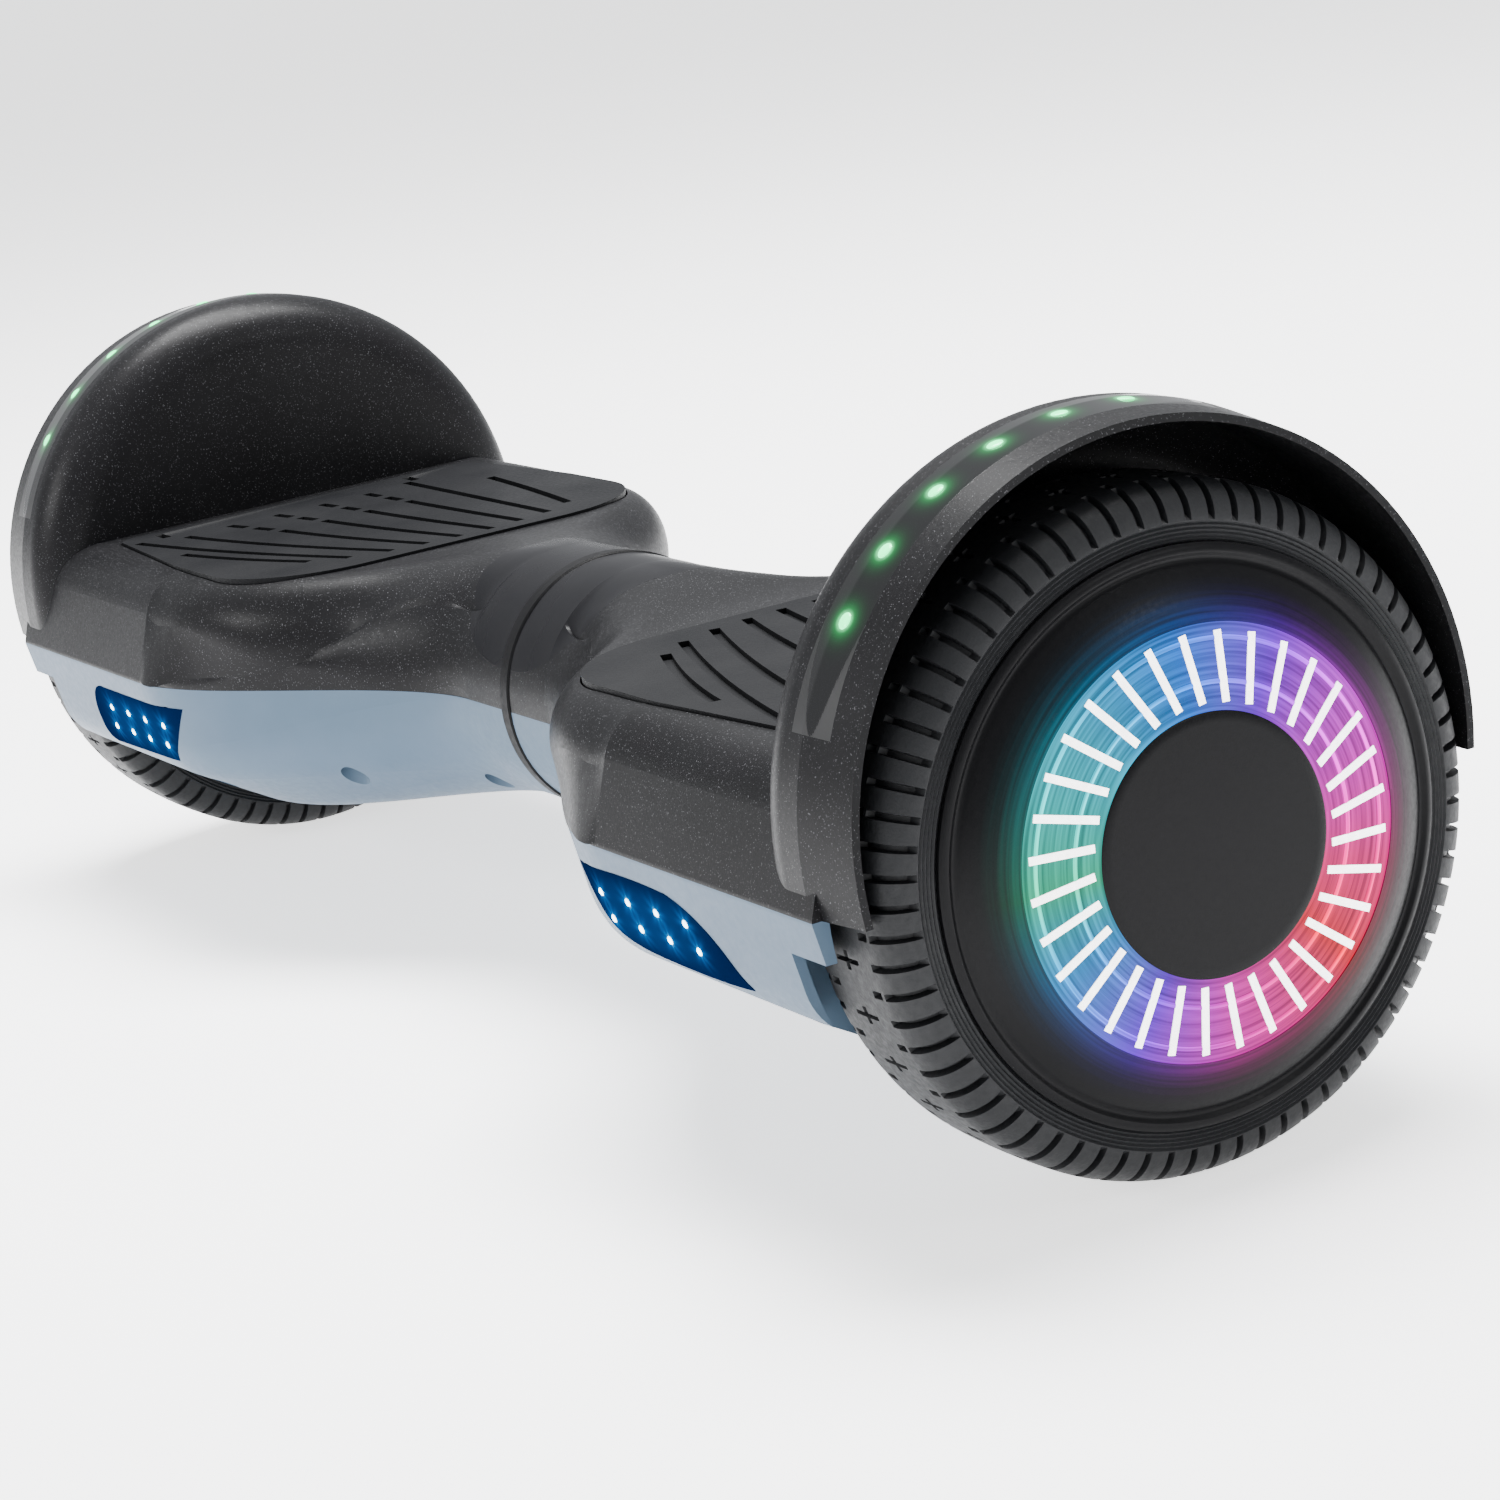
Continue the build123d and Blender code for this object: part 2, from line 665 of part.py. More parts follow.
# ---------------------------------------------------------------- motor: the parts fixed to the axle
axle_start = 207.0
axle_end = outer_bearing_x + bearing_width + 0.6
wire_bore = 4.0
with BuildPart() as axle:
    add(turned([(axle_start, wire_bore), (stack_start + 4, wire_bore), (stack_start + 4, 0), (axle_end, 0),
                (axle_end, axle_radius - 1), (axle_end - 1, axle_radius), (axle_start + 1, axle_radius),
                (axle_start, axle_radius - 1)]))
save_pair("axle", axle.part)

core_inner = 26.0
core_outer = 35.0
tooth_tip = magnet_inner - air_gap
with BuildPart() as stator:
    with BuildSketch(facing_x(stack_start)):
        Circle(tooth_tip)
        Circle(core_inner, mode=Mode.SUBTRACT)
        with PolarLocations((core_outer + tooth_tip) / 2, tooth_count):
            SlotOverall(tooth_tip - core_outer - 3, 6.4, mode=Mode.SUBTRACT)
        with PolarLocations(tooth_tip, tooth_count):
            Rectangle(8, 1.8, mode=Mode.SUBTRACT)
    extrude(amount=stack_end - stack_start)
    add(ring(stack_start + 4, stack_end - 3, axle_radius, core_inner))
save_pair("stator", stator.part)
with BuildPart() as windings:
    with BuildSketch(facing_x(stack_start - 3)):
        with PolarLocations((core_outer + tooth_tip) / 2, tooth_count):
            SlotOverall(tooth_tip - core_outer - 5, 5.6)
    extrude(amount=stack_end - stack_start + 6)
save_pair("windings", windings.part)

# ---------------------------------------------------------------- frame under the shells
nut_radius = shaft_radius + 4
tube_start = 6.0
tube_end = 62.0
plate_low = 77.0
plate_high = 81.0
block_start = 206.0
block_end = 234.0
block_half = 24.0
block_low = 66.0
clamp_height = 15.0
clamp_screw_spots = [(x, y) for x in (212, 228) for y in (-16.5, 16.5)]


def chassis(tube_bore):
    """Cast frame of one half: pivot tube, plate and axle block."""
    with BuildPart() as frame:
        with BuildSketch(Plane.XY.offset(plate_low)):
            with BuildLine():
                side = [(tube_start, 16), (tube_end - 22, 16), (tube_end - 10, 27), (100, 40), (135, 58),
                        (block_end, 58)]
                Polyline(*side, *[(x, -y) for x, y in reversed(side)], close=True)
            make_face()
            with Locations((150, 0)):
                SlotOverall(60, 30, mode=Mode.SUBTRACT)
        extrude(amount=plate_high - plate_low)
        with Locations(*[(x, y, plate_low - 5) for x in (120, 180) for y in (-48, 48)]):
            Cylinder(4, 10)
        add(ring(tube_start, tube_end, 0.5, shaft_radius + tube_wall + 2))
        with BuildSketch(Plane.XY.offset(block_low)):
            with Locations(((block_start + block_end) / 2, 0)):
                Rectangle(block_end - block_start, 2 * block_half)
        extrude(amount=axle_z - block_low)
        with BuildSketch(facing_x(block_start - 1)):
            Circle(axle_radius)
        extrude(amount=block_end - block_start + 2, mode=Mode.SUBTRACT)
        with BuildSketch(facing_x(tube_start - 1)):
            Circle(tube_bore)
        extrude(amount=tube_end - tube_start + 2, mode=Mode.SUBTRACT)
        with BuildSketch(facing_x(tube_end)):
            Circle(nut_radius + 2)
        extrude(amount=30, mode=Mode.SUBTRACT)
        with BuildSketch(Plane.XY.offset(block_low)):
            with Locations(*clamp_screw_spots):
                Circle(2.1)
        extrude(amount=axle_z - block_low, mode=Mode.SUBTRACT)
    return frame.part


save("left_chassis", mirror(chassis(shaft_radius), about=Plane.YZ))
save("right_chassis", chassis(shaft_radius + 2))

with BuildPart() as axle_clamp:
    with BuildSketch(Plane.XY.offset(axle_z)):
        with Locations(((block_start + block_end) / 2, 0)):
            Rectangle(block_end - block_start - 4, 2 * block_half - 4)
    extrude(amount=clamp_height)
    fillet(axle_clamp.faces().sort_by(Axis.Z)[-1].edges(), 2)
    with BuildSketch(facing_x(block_start - 1)):
        Circle(axle_radius)
    extrude(amount=block_end - block_start + 2, mode=Mode.SUBTRACT)
    with BuildSketch(Plane.XY.offset(axle_z)):
        with Locations(*clamp_screw_spots):
            Circle(2.1)
    extrude(amount=clamp_height, mode=Mode.SUBTRACT)
save_pair("axle_clamp", axle_clamp.part)

with BuildPart() as clamp_screws:
    with BuildSketch(Plane.XY.offset(axle_z + clamp_height)):
        with Locations(*clamp_screw_spots):
            Circle(3.8)
    extrude(amount=3.6)
    with BuildSketch(Plane.XY.offset(axle_z + clamp_height + 3.6)):
        with Locations(*clamp_screw_spots):
            RegularPolygon(1.9, 6)
    extrude(amount=-2, mode=Mode.SUBTRACT)
    with BuildSketch(Plane.XY.offset(axle_z + clamp_height)):
        with Locations(*clamp_screw_spots):
            Circle(2.0)
    extrude(amount=-(clamp_height + axle_z - block_low - 2))
save_pair("clamp_screws", clamp_screws.part)

# ---------------------------------------------------------------- pivot between the halves
nut_start = tube_end + running_gap
with BuildPart() as pivot_shaft:
    add(ring(-tube_end, shaft_reach, shaft_bore, shaft_radius))
    add(ring(nut_start, nut_start + 4, shaft_radius, nut_radius))
save("pivot_shaft", pivot_shaft.part)

with BuildPart() as pivot_bushes:
    for start in (8, 46):
        add(ring(start, start + 14, shaft_radius + fit_gap, shaft_radius + 2))
save("pivot_bushes", pivot_bushes.part)

seal_radius = collar_radius + 0.6
seal_bore = 30.0
seal_neck = 34.6
seal_tail = 14.0
with BuildPart() as pivot_seal:
    add(turned([(-shell_start, seal_radius - 0.5), (-shell_start + 0.5, seal_radius),
                (seal_half - 0.5, seal_radius), (seal_half, seal_radius - 0.5), (seal_half, seal_bore),
                (-seal_tail, seal_bore), (-seal_tail, seal_neck), (-shell_start, seal_neck)]))
save("pivot_seal", pivot_seal.part)

# ---------------------------------------------------------------- electrics
battery_floor = 42.0
battery_height = 30.0
battery_middle = 157.0
battery_length = 92.0
battery_width = 72.0
with BuildPart() as battery_pack:
    with BuildSketch(Plane.XY.offset(battery_floor)):
        with Locations((-battery_middle, 0)):
            RectangleRounded(battery_length, battery_width, 6)
    extrude(amount=battery_height)
    fillet(battery_pack.faces().sort_by(Axis.Z)[-1].edges(), 4)
save("battery_pack", battery_pack.part)

with BuildPart() as main_board:
    with BuildSketch(Plane.XY.offset(58)):
        with Locations((155, 0)):
            RectangleRounded(96, 70, 3)
    extrude(amount=1.6)
    with BuildSketch(Plane.XY.offset(59.6)):
        with Locations((125, -22), (125, 0), (125, 22)):
            Circle(6)
    extrude(amount=12)
    with BuildSketch(Plane.XY.offset(59.6)):
        with Locations((160, -20), (160, 20), (178, 0)):
            Rectangle(14, 14)
    extrude(amount=3)
    with BuildSketch(Plane.XY.offset(56)):
        with Locations(*[(155 + 42 * i, 29 * j) for i in (-1, 1) for j in (-1, 1)]):
            Circle(3)
    extrude(amount=2)
save("main_board", main_board.part)

with BuildPart() as sensor_board:
    with BuildSketch(Plane.XY.offset(102)):
        with Locations((170, 0)):
            RectangleRounded(80, 74, 3)
    extrude(amount=1.6)
    with BuildSketch(Plane.XY.offset(103.6)):
        with Locations(*plunger_spots):
            Rectangle(7, 5)
    extrude(amount=2)
    with BuildSketch(Plane.XY.offset(plate_high)):
        with Locations(*[(x, y) for x in (136, 204) for y in (-40 + 8, 40 - 8)]):
            Circle(2.5)
    extrude(amount=102 - plate_high)
save_pair("sensor_board", sensor_board.part)

with BuildPart() as power_button:
    with BuildSketch(front_face(port_x, button_drop, 1, 0.8)):
        Circle(button_radius)
    extrude(amount=-6)
    fillet(power_button.edges().group_by(Axis.Y)[-1], 0.6)
    with BuildSketch(front_face(port_x, button_drop, 1, -wall - running_gap)):
        Circle(button_radius + 1.6)
    extrude(amount=-1.2)
save("power_button", mirror(power_button.part, about=Plane.YZ))

socket_depth = 12.0
socket_bore = 5.6
socket_floor = 9.0
pin_circle = 2.6
pin_length = 3.5
with BuildPart() as charge_socket:
    with BuildSketch(front_face(port_x, port_drop, 1, -0.3)):
        Circle(port_radius - fit_gap)
    extrude(amount=-socket_depth)
    with BuildSketch(front_face(port_x, port_drop, 1, -0.3)):
        Circle(socket_bore)
    extrude(amount=-socket_floor, mode=Mode.SUBTRACT)
    with BuildSketch(front_face(port_x, port_drop, 1, -socket_floor - 0.3)):
        with PolarLocations(pin_circle, 3):
            Circle(0.8)
    extrude(amount=pin_length)
save("charge_socket", charge_socket.part)

cap_radius = 10.6
cap_gap = 0.3
cap_thick = 1.6
cap_pocket = 0.9                # the cap is a shallow cup over the socket's mouth
cap_pocket_radius = 8.8
cap_tab = 5.0
hinge_drop = port_drop - cap_radius - 1.6
with BuildPart() as charge_cap:
    with BuildSketch(front_face(port_x, port_drop, 1, cap_gap)):
        Circle(cap_radius)
    extrude(amount=cap_thick)
    with BuildSketch(front_face(port_x, port_drop, 1, cap_gap)):
        Circle(cap_pocket_radius)
    extrude(amount=cap_pocket, mode=Mode.SUBTRACT)
    # the tab ends just short of the hinge line, so it clears the shell as the cap swings
    with BuildSketch(front_face(port_x, hinge_drop + 0.2 + cap_tab / 2, 1, cap_gap)):
        Rectangle(9, cap_tab)
    extrude(amount=cap_thick - cap_pocket / 2)
save("charge_cap", charge_cap.part)
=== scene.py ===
import json
import math

import bmesh
import bpy
import numpy as np
from mathutils import Matrix, Vector


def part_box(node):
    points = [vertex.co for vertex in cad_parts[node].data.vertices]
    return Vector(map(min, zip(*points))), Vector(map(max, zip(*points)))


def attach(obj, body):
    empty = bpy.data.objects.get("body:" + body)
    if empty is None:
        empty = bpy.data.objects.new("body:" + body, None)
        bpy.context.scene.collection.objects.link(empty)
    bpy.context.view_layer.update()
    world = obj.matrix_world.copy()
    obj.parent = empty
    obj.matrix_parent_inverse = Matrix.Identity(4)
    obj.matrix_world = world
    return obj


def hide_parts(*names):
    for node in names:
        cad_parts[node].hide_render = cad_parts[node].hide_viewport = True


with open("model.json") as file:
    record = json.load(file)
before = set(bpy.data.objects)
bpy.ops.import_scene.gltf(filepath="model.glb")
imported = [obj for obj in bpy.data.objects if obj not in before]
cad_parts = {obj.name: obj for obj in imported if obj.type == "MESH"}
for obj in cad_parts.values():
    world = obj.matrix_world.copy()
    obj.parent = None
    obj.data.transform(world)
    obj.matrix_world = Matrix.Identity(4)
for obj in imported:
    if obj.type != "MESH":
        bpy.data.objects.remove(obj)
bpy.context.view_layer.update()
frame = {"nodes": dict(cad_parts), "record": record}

# Lengths are metres. Shapes are made for the +X half and mirrored for the -X half.
MM = 0.001
SIDES = (("right", 1), ("left", -1))
TURN = 2 * math.pi


# ---------------------------------------------------------------- places read from the frame
def reach(node, axis):
    """Largest coordinate of a node along one axis."""
    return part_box(node)[1][axis]


AXLE_Z = (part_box("right_tyre")[0].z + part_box("right_tyre")[1].z) / 2
TYRE_RADIUS = reach("right_tyre", 2) - AXLE_Z
TYRE_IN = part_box("right_tyre")[0].x
TYRE_OUT = reach("right_tyre", 0)
PAD_TOP = reach("right_foot_pad", 2)
FENDER_TOP = reach("right_upper_shell", 2)
FENDER_RADIUS = 88.5 * MM
FENDER_Z = FENDER_TOP - FENDER_RADIUS
HUB_APEX = reach("right_hub_cover", 0)


# the lit ring on the wheel cover, in millimetres
LIGHT_INNER, LIGHT_OUTER = 31.0, 51.0
GLOW_FADE, GLOW_RISE = 12.0, 3.0


# ---------------------------------------------------------------- meshes
def finish_mesh(name, mesh, material, body, replaced=(), sharp=35):
    """Turn a mesh into a piece: smooth shading, outward faces, material and body."""
    work = bmesh.new()
    work.from_mesh(mesh)
    bmesh.ops.remove_doubles(work, verts=work.verts, dist=2e-6)
    bmesh.ops.dissolve_degenerate(work, edges=work.edges, dist=1e-6)
    bmesh.ops.recalc_face_normals(work, faces=work.faces)
    work.to_mesh(mesh)
    work.free()
    mesh.polygons.foreach_set("use_smooth", [True] * len(mesh.polygons))
    mesh.set_sharp_from_angle(angle=math.radians(sharp))
    piece = bpy.data.objects.new(name, mesh)
    bpy.context.scene.collection.objects.link(piece)
    mesh.materials.clear()
    mesh.materials.append(material)
    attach(piece, body)
    if replaced:
        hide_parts(*replaced)
    return piece


def grid_faces(rows, columns, wrap_rows=False, wrap_columns=False, start=0):
    """Quads of a grid of points numbered row by row."""
    r = np.arange(rows if wrap_rows else rows - 1)
    c = np.arange(columns if wrap_columns else columns - 1)
    r, c = np.meshgrid(r, c, indexing="ij")
    below, right = (r + 1) % rows, (c + 1) % columns
    quads = np.stack([r * columns + c, r * columns + right, below * columns + right, below * columns + c], -1)
    return (quads.reshape(-1, 4) + start).tolist()


def mesh_of(points, faces, sign=1, values=None):
    """Mesh of points, mirrored for the -X side, with optional named values at the points."""
    points = np.array(points, float).reshape(-1, 3) * (sign, 1, 1)
    mesh = bpy.data.meshes.new("mesh")
    mesh.from_pydata(points.tolist(), [], faces)
    for key, data in (values or {}).items():
        layer = mesh.attributes.new(key, "FLOAT", "POINT")
        layer.data.foreach_set("value", np.asarray(data, np.float32).ravel())
    return mesh


def turned(profile, sign, segments=256):
    """Solid turned about the wheel axis from (x, radius) points."""
    profile = np.array(profile, float)
    angle = np.arange(segments) * TURN / segments
    x = np.repeat(profile[None, :, 0], segments, 0)
    y = np.outer(np.sin(angle), profile[:, 1])
    z = AXLE_Z + np.outer(np.cos(angle), profile[:, 1])
    return mesh_of(np.stack([x, y, z], -1), grid_faces(segments, len(profile), True, True), sign)


def slab(outer, inner, sign, values=None):
    """Closed thin solid between two matching grids of points."""
    rows, columns = outer.shape[:2]
    count = rows * columns
    index = np.arange(count).reshape(rows, columns)
    rim = list(index[0, :]) + list(index[1:, -1]) + list(index[-1, -2::-1]) + list(index[-2:0:-1, 0])
    faces = grid_faces(rows, columns) + grid_faces(rows, columns, start=count)
    for a, b in zip(rim, rim[1:] + rim[:1]):
        faces.append([int(a), int(b), int(b) + count, int(a) + count])
    both = {key: np.concatenate([np.ravel(v), np.ravel(v)]) for key, v in (values or {}).items()}
    return mesh_of(np.concatenate([outer.reshape(-1, 3), inner.reshape(-1, 3)]), faces, sign, both)


def rounded(corners, radii, steps=10):
    """Closed outline whose corners are arcs of the given radii."""
    points = []
    for i, radius in enumerate(radii):
        here = Vector(corners[i])
        back = (Vector(corners[i - 1]) - here).normalized()
        ahead = (Vector(corners[(i + 1) % len(corners)]) - here).normalized()
        half = back.angle(ahead) / 2
        middle = here + (back + ahead).normalized() * radius / math.sin(half)
        first = here + back * radius / math.tan(half) - middle
        last = here + ahead * radius / math.tan(half) - middle
        start, end = first.normalized(), last.normalized()
        points += [tuple(middle + start.slerp(end, s / steps) * radius) for s in range(steps + 1)]
    return points


def arc(a, b, c, steps=16):
    """Points on the arc from a through b to c."""
    (ax, ay), (bx, by), (cx, cy) = a, b, c
    d = 2 * (ax * (by - cy) + bx * (cy - ay) + cx * (ay - by))
    sa, sb, sc = ax * ax + ay * ay, bx * bx + by * by, cx * cx + cy * cy
    ux = (sa * (by - cy) + sb * (cy - ay) + sc * (ay - by)) / d
    uy = (sa * (cx - bx) + sb * (ax - cx) + sc * (bx - ax)) / d
    start = math.atan2(ay - uy, ax - ux)
    through = (math.atan2(by - uy, bx - ux) - start) % TURN
    sweep = (math.atan2(cy - uy, cx - ux) - start) % TURN
    if through > sweep:
        sweep -= TURN
    radius = math.hypot(ax - ux, ay - uy)
    turns = [start + sweep * s / steps for s in range(steps + 1)]
    return [(ux + radius * math.cos(t), uy + radius * math.sin(t)) for t in turns]


# ---------------------------------------------------------------- materials
class Finish:
    """A Principled material and the few node patterns that the board's finishes share."""

    def __init__(self, name, colour, roughness, metallic=0.0, coat=0.0):
        self.material = bpy.data.materials.new(name)
        self.material.use_nodes = True
        self.tree = self.material.node_tree
        self.bsdf = self.tree.nodes["Principled BSDF"]
        self.bsdf.inputs["Base Color"].default_value = (*colour, 1)
        self.bsdf.inputs["Roughness"].default_value = roughness
        self.bsdf.inputs["Metallic"].default_value = metallic
        self.bsdf.inputs["Coat Weight"].default_value = coat
        self.bsdf.inputs["Coat Roughness"].default_value = 0.05
        self.place = self.tree.nodes.new("ShaderNodeTexCoord").outputs["Object"]

    def feed(self, socket, value):
        if isinstance(value, bpy.types.NodeSocket):
            self.tree.links.new(value, socket)
        else:
            socket.default_value = value

    def noise(self, scale, detail=2.0, place=None):
        node = self.tree.nodes.new("ShaderNodeTexNoise")
        self.feed(node.inputs["Vector"], place or self.place)
        node.inputs["Scale"].default_value = scale
        node.inputs["Detail"].default_value = detail
        return node.outputs["Fac"]

    def ramp(self, source, stops):
        node = self.tree.nodes.new("ShaderNodeValToRGB")
        self.feed(node.inputs["Fac"], source)
        points = node.color_ramp.elements
        while len(points) < len(stops):
            points.new(0.5)
        for point, (position, colour) in zip(points, stops):
            point.position = position
            point.color = (*colour, 1) if isinstance(colour, tuple) else (colour, colour, colour, 1)
        return node.outputs["Color"]

    def math(self, operation, a, b=0.0, c=0.0):
        node = self.tree.nodes.new("ShaderNodeMath")
        node.operation = operation
        for socket, value in zip(node.inputs, (a, b, c)):
            self.feed(socket, value)
        return node.outputs[0]

    def span(self, source, low, high, out_low, out_high):
        node = self.tree.nodes.new("ShaderNodeMapRange")
        for socket, value in zip(node.inputs, (source, low, high, out_low, out_high)):
            self.feed(socket, value)
        return node.outputs["Result"]

    def mix(self, factor, a, b):
        node = self.tree.nodes.new("ShaderNodeMix")
        node.data_type = "RGBA"
        self.feed(node.inputs["Factor"], factor)
        self.feed(node.inputs[6], a)
        self.feed(node.inputs[7], b)
        return node.outputs[2]

    def value(self, name):
        node = self.tree.nodes.new("ShaderNodeAttribute")
        node.attribute_name = name
        return node.outputs["Fac"]

    def parts(self):
        node = self.tree.nodes.new("ShaderNodeSeparateXYZ")
        self.feed(node.inputs[0], self.place)
        return node.outputs

    def colour(self, source):
        self.feed(self.bsdf.inputs["Base Color"], source)

    def rough(self, source, low, high):
        self.feed(self.bsdf.inputs["Roughness"], self.span(source, 0.3, 0.7, low, high))

    def bump(self, height, depth):
        node = self.tree.nodes.new("ShaderNodeBump")
        node.inputs["Strength"].default_value = 1.0
        node.inputs["Distance"].default_value = depth
        self.feed(node.inputs["Height"], height)
        self.feed(self.bsdf.inputs["Normal"], node.outputs["Normal"])

    def glow(self, colour, strength):
        self.feed(self.bsdf.inputs["Emission Color"], colour)
        self.feed(self.bsdf.inputs["Emission Strength"], strength)


def grained(name, dark, light, roughness, grain, depth, metallic=0.0, level=0.5):
    """Finish whose tone wanders slightly and whose surface has a fine grain."""
    made = Finish(name, dark, roughness[0], metallic)
    made.bsdf.inputs["Specular IOR Level"].default_value = level
    made.colour(made.ramp(made.noise(38, 4), [(0.3, dark), (0.7, light)]))
    made.rough(made.noise(grain * 0.4, 3), *roughness)
    made.bump(made.noise(grain, 2), depth)
    return made


def sparkle_black(name, base, fleck, roughness):
    """Black moulding with a fine metallic sparkle."""
    made = Finish(name, base, roughness[0])
    made.bsdf.inputs["Specular IOR Level"].default_value = 0.07
    tone = made.ramp(made.noise(25, 3), [(0.3, base), (0.7, tuple(1.5 * c for c in base))])
    flecks = made.span(made.noise(2300, 1), 0.66, 0.74, 0.0, 1.0)
    made.colour(made.mix(flecks, tone, fleck))
    made.rough(made.noise(900, 2), *roughness)
    made.bump(made.noise(1500, 2), 0.00002)
    return made


def polar(made):
    """Angle from +Y towards +Z as a share of a turn, and radius, about the axle."""
    x, y, z = made.parts()
    height = made.math("SUBTRACT", z, AXLE_Z)
    angle = made.math("ARCTAN2", height, y)
    share = made.math("FRACT", made.math("ADD", made.math("DIVIDE", angle, TURN), 1.0))
    squares = made.math("ADD", made.math("MULTIPLY", y, y), made.math("MULTIPLY", height, height))
    radius = made.math("SQRT", squares)
    return share, radius


RAINBOW = [(0.0, (1.0, 0.0, 0.55)), (0.08, (0.80, 0.0, 0.90)), (0.17, (0.22, 0.0, 1.0)),
           (0.26, (0.0, 0.22, 1.0)), (0.38, (0.0, 0.55, 0.75)), (0.50, (0.0, 0.55, 0.28)),
           (0.57, (0.0, 0.34, 0.85)), (0.66, (0.18, 0.0, 1.0)), (0.75, (0.90, 0.0, 0.55)),
           (0.87, (1.0, 0.0, 0.03)), (0.95, (1.0, 0.0, 0.25)), (1.0, (1.0, 0.0, 0.55))]


def streaks(made, share, radius):
    """Thin swirling streaks that run round the wheel."""
    node = made.tree.nodes.new("ShaderNodeCombineXYZ")
    made.feed(node.inputs[0], made.math("MULTIPLY", share, 5.0))
    made.feed(node.inputs[1], made.math("MULTIPLY", radius, 900.0))
    return made.noise(1.0, 3, node.outputs[0])


def rainbow(name, inner, outer, inside, outside):
    """Black gloss lit in rainbow colours between two radii, fading past them."""
    made = Finish(name, (0.003, 0.003, 0.0035), 0.3)
    made.bsdf.inputs["Specular IOR Level"].default_value = 0.09
    share, radius = polar(made)
    fade_out = made.math("POWER", made.span(radius, outer, outer + GLOW_FADE * MM, 1.0, 0.0), 3.0)
    fade_in = made.math("POWER", made.span(radius, inner - GLOW_RISE * MM, inner, 0.0, 1.0), 2.0)
    swirl = made.span(streaks(made, share, radius), 0.35, 0.65, 0.45, 1.25)
    level = made.math("MULTIPLY", made.math("MULTIPLY", fade_out, fade_in), swirl)
    lit = made.span(radius, outer - 0.2 * MM, outer + 0.2 * MM, inside, outside)
    made.glow(made.ramp(share, RAINBOW), made.math("MULTIPLY", level, lit))
    made.rough(made.noise(900, 2), 0.30, 0.42)
    made.bump(made.noise(2200, 2), 0.00002)
    return made


shell_black = sparkle_black("shell_black", (0.0055, 0.0055, 0.006), (0.07, 0.07, 0.075, 1), (0.30, 0.42))
shell_grey = grained("shell_grey", (0.062, 0.096, 0.138), (0.072, 0.108, 0.152),
                     (0.34, 0.44), 1200, 0.00002, level=0.08)
gloss_black = grained("gloss_black", (0.006, 0.006, 0.007), (0.009, 0.009, 0.010),
                      (0.24, 0.32), 60, 0.00001, level=0.06)
pad_rubber = grained("pad_rubber", (0.006, 0.0062, 0.007), (0.010, 0.0102, 0.011),
                     (0.42, 0.55), 1800, 0.00005, level=0.04)
tyre_rubber = grained("tyre_rubber", (0.004, 0.0045, 0.0055), (0.008, 0.0085, 0.0095),
                      (0.48, 0.64), 1500, 0.00006, level=0.25)
alloy = grained("cast_alloy", (0.50, 0.51, 0.53), (0.62, 0.63, 0.65), (0.38, 0.55), 700, 0.00008, 1.0)
screw_steel = grained("screw_steel", (0.10, 0.10, 0.105), (0.16, 0.16, 0.17),
                      (0.30, 0.45), 1500, 0.00003, 1.0)
board_green = grained("circuit_board", (0.010, 0.11, 0.05), (0.02, 0.17, 0.08), (0.25, 0.40), 500, 0.00003)
nickel = grained("magnet", (0.42, 0.43, 0.45), (0.52, 0.53, 0.55), (0.22, 0.35), 900, 0.00002, 1.0)
bright_steel = grained("bearing_steel", (0.58, 0.58, 0.60), (0.70, 0.70, 0.72),
                       (0.12, 0.22), 900, 0.00001, 1.0)
turned_steel = grained("axle_steel", (0.36, 0.36, 0.38), (0.46, 0.46, 0.48), (0.25, 0.38), 1200, 0.00002, 1.0)
laminated = grained("stator_steel", (0.15, 0.16, 0.18), (0.22, 0.23, 0.25), (0.40, 0.55), 1600, 0.00005, 1.0)
copper = grained("copper", (0.55, 0.22, 0.08), (0.75, 0.33, 0.13), (0.25, 0.40), 1300, 0.00008, 1.0)
film_blue = grained("battery_wrap", (0.02, 0.08, 0.30), (0.03, 0.12, 0.38), (0.25, 0.38), 260, 0.00010)
bush_brass = grained("bush_brass", (0.62, 0.45, 0.18), (0.75, 0.55, 0.24), (0.30, 0.45), 1400, 0.00003, 1.0)
seal_rubber = grained("seal_rubber", (0.004, 0.004, 0.0045), (0.007, 0.007, 0.0075),
                      (0.35, 0.50), 1400, 0.00004, level=0.06)
hub_black = rainbow("hub_plastic", LIGHT_INNER * MM, LIGHT_OUTER * MM, 0.0, 0.32)
ring_glow = rainbow("light_ring", LIGHT_INNER * MM, LIGHT_OUTER * MM, 1.1, 1.1)


def lit(name, colour, strength):
    """Translucent moulding lit from behind, a little uneven."""
    made = Finish(name, colour, 0.25)
    made.glow((*colour, 1), made.span(made.noise(420, 2), 0.3, 0.7, strength * 0.85, strength * 1.15))
    made.rough(made.noise(500, 2), 0.18, 0.32)
    return made


bar_white = lit("light_bar", (1.0, 1.0, 1.0), 2.6)
led_white = lit("led_white", (0.75, 0.92, 1.0), 6.0)
circle_glow = rainbow("glow_circle", 20 * MM, 60 * MM, 3.4, 3.4)


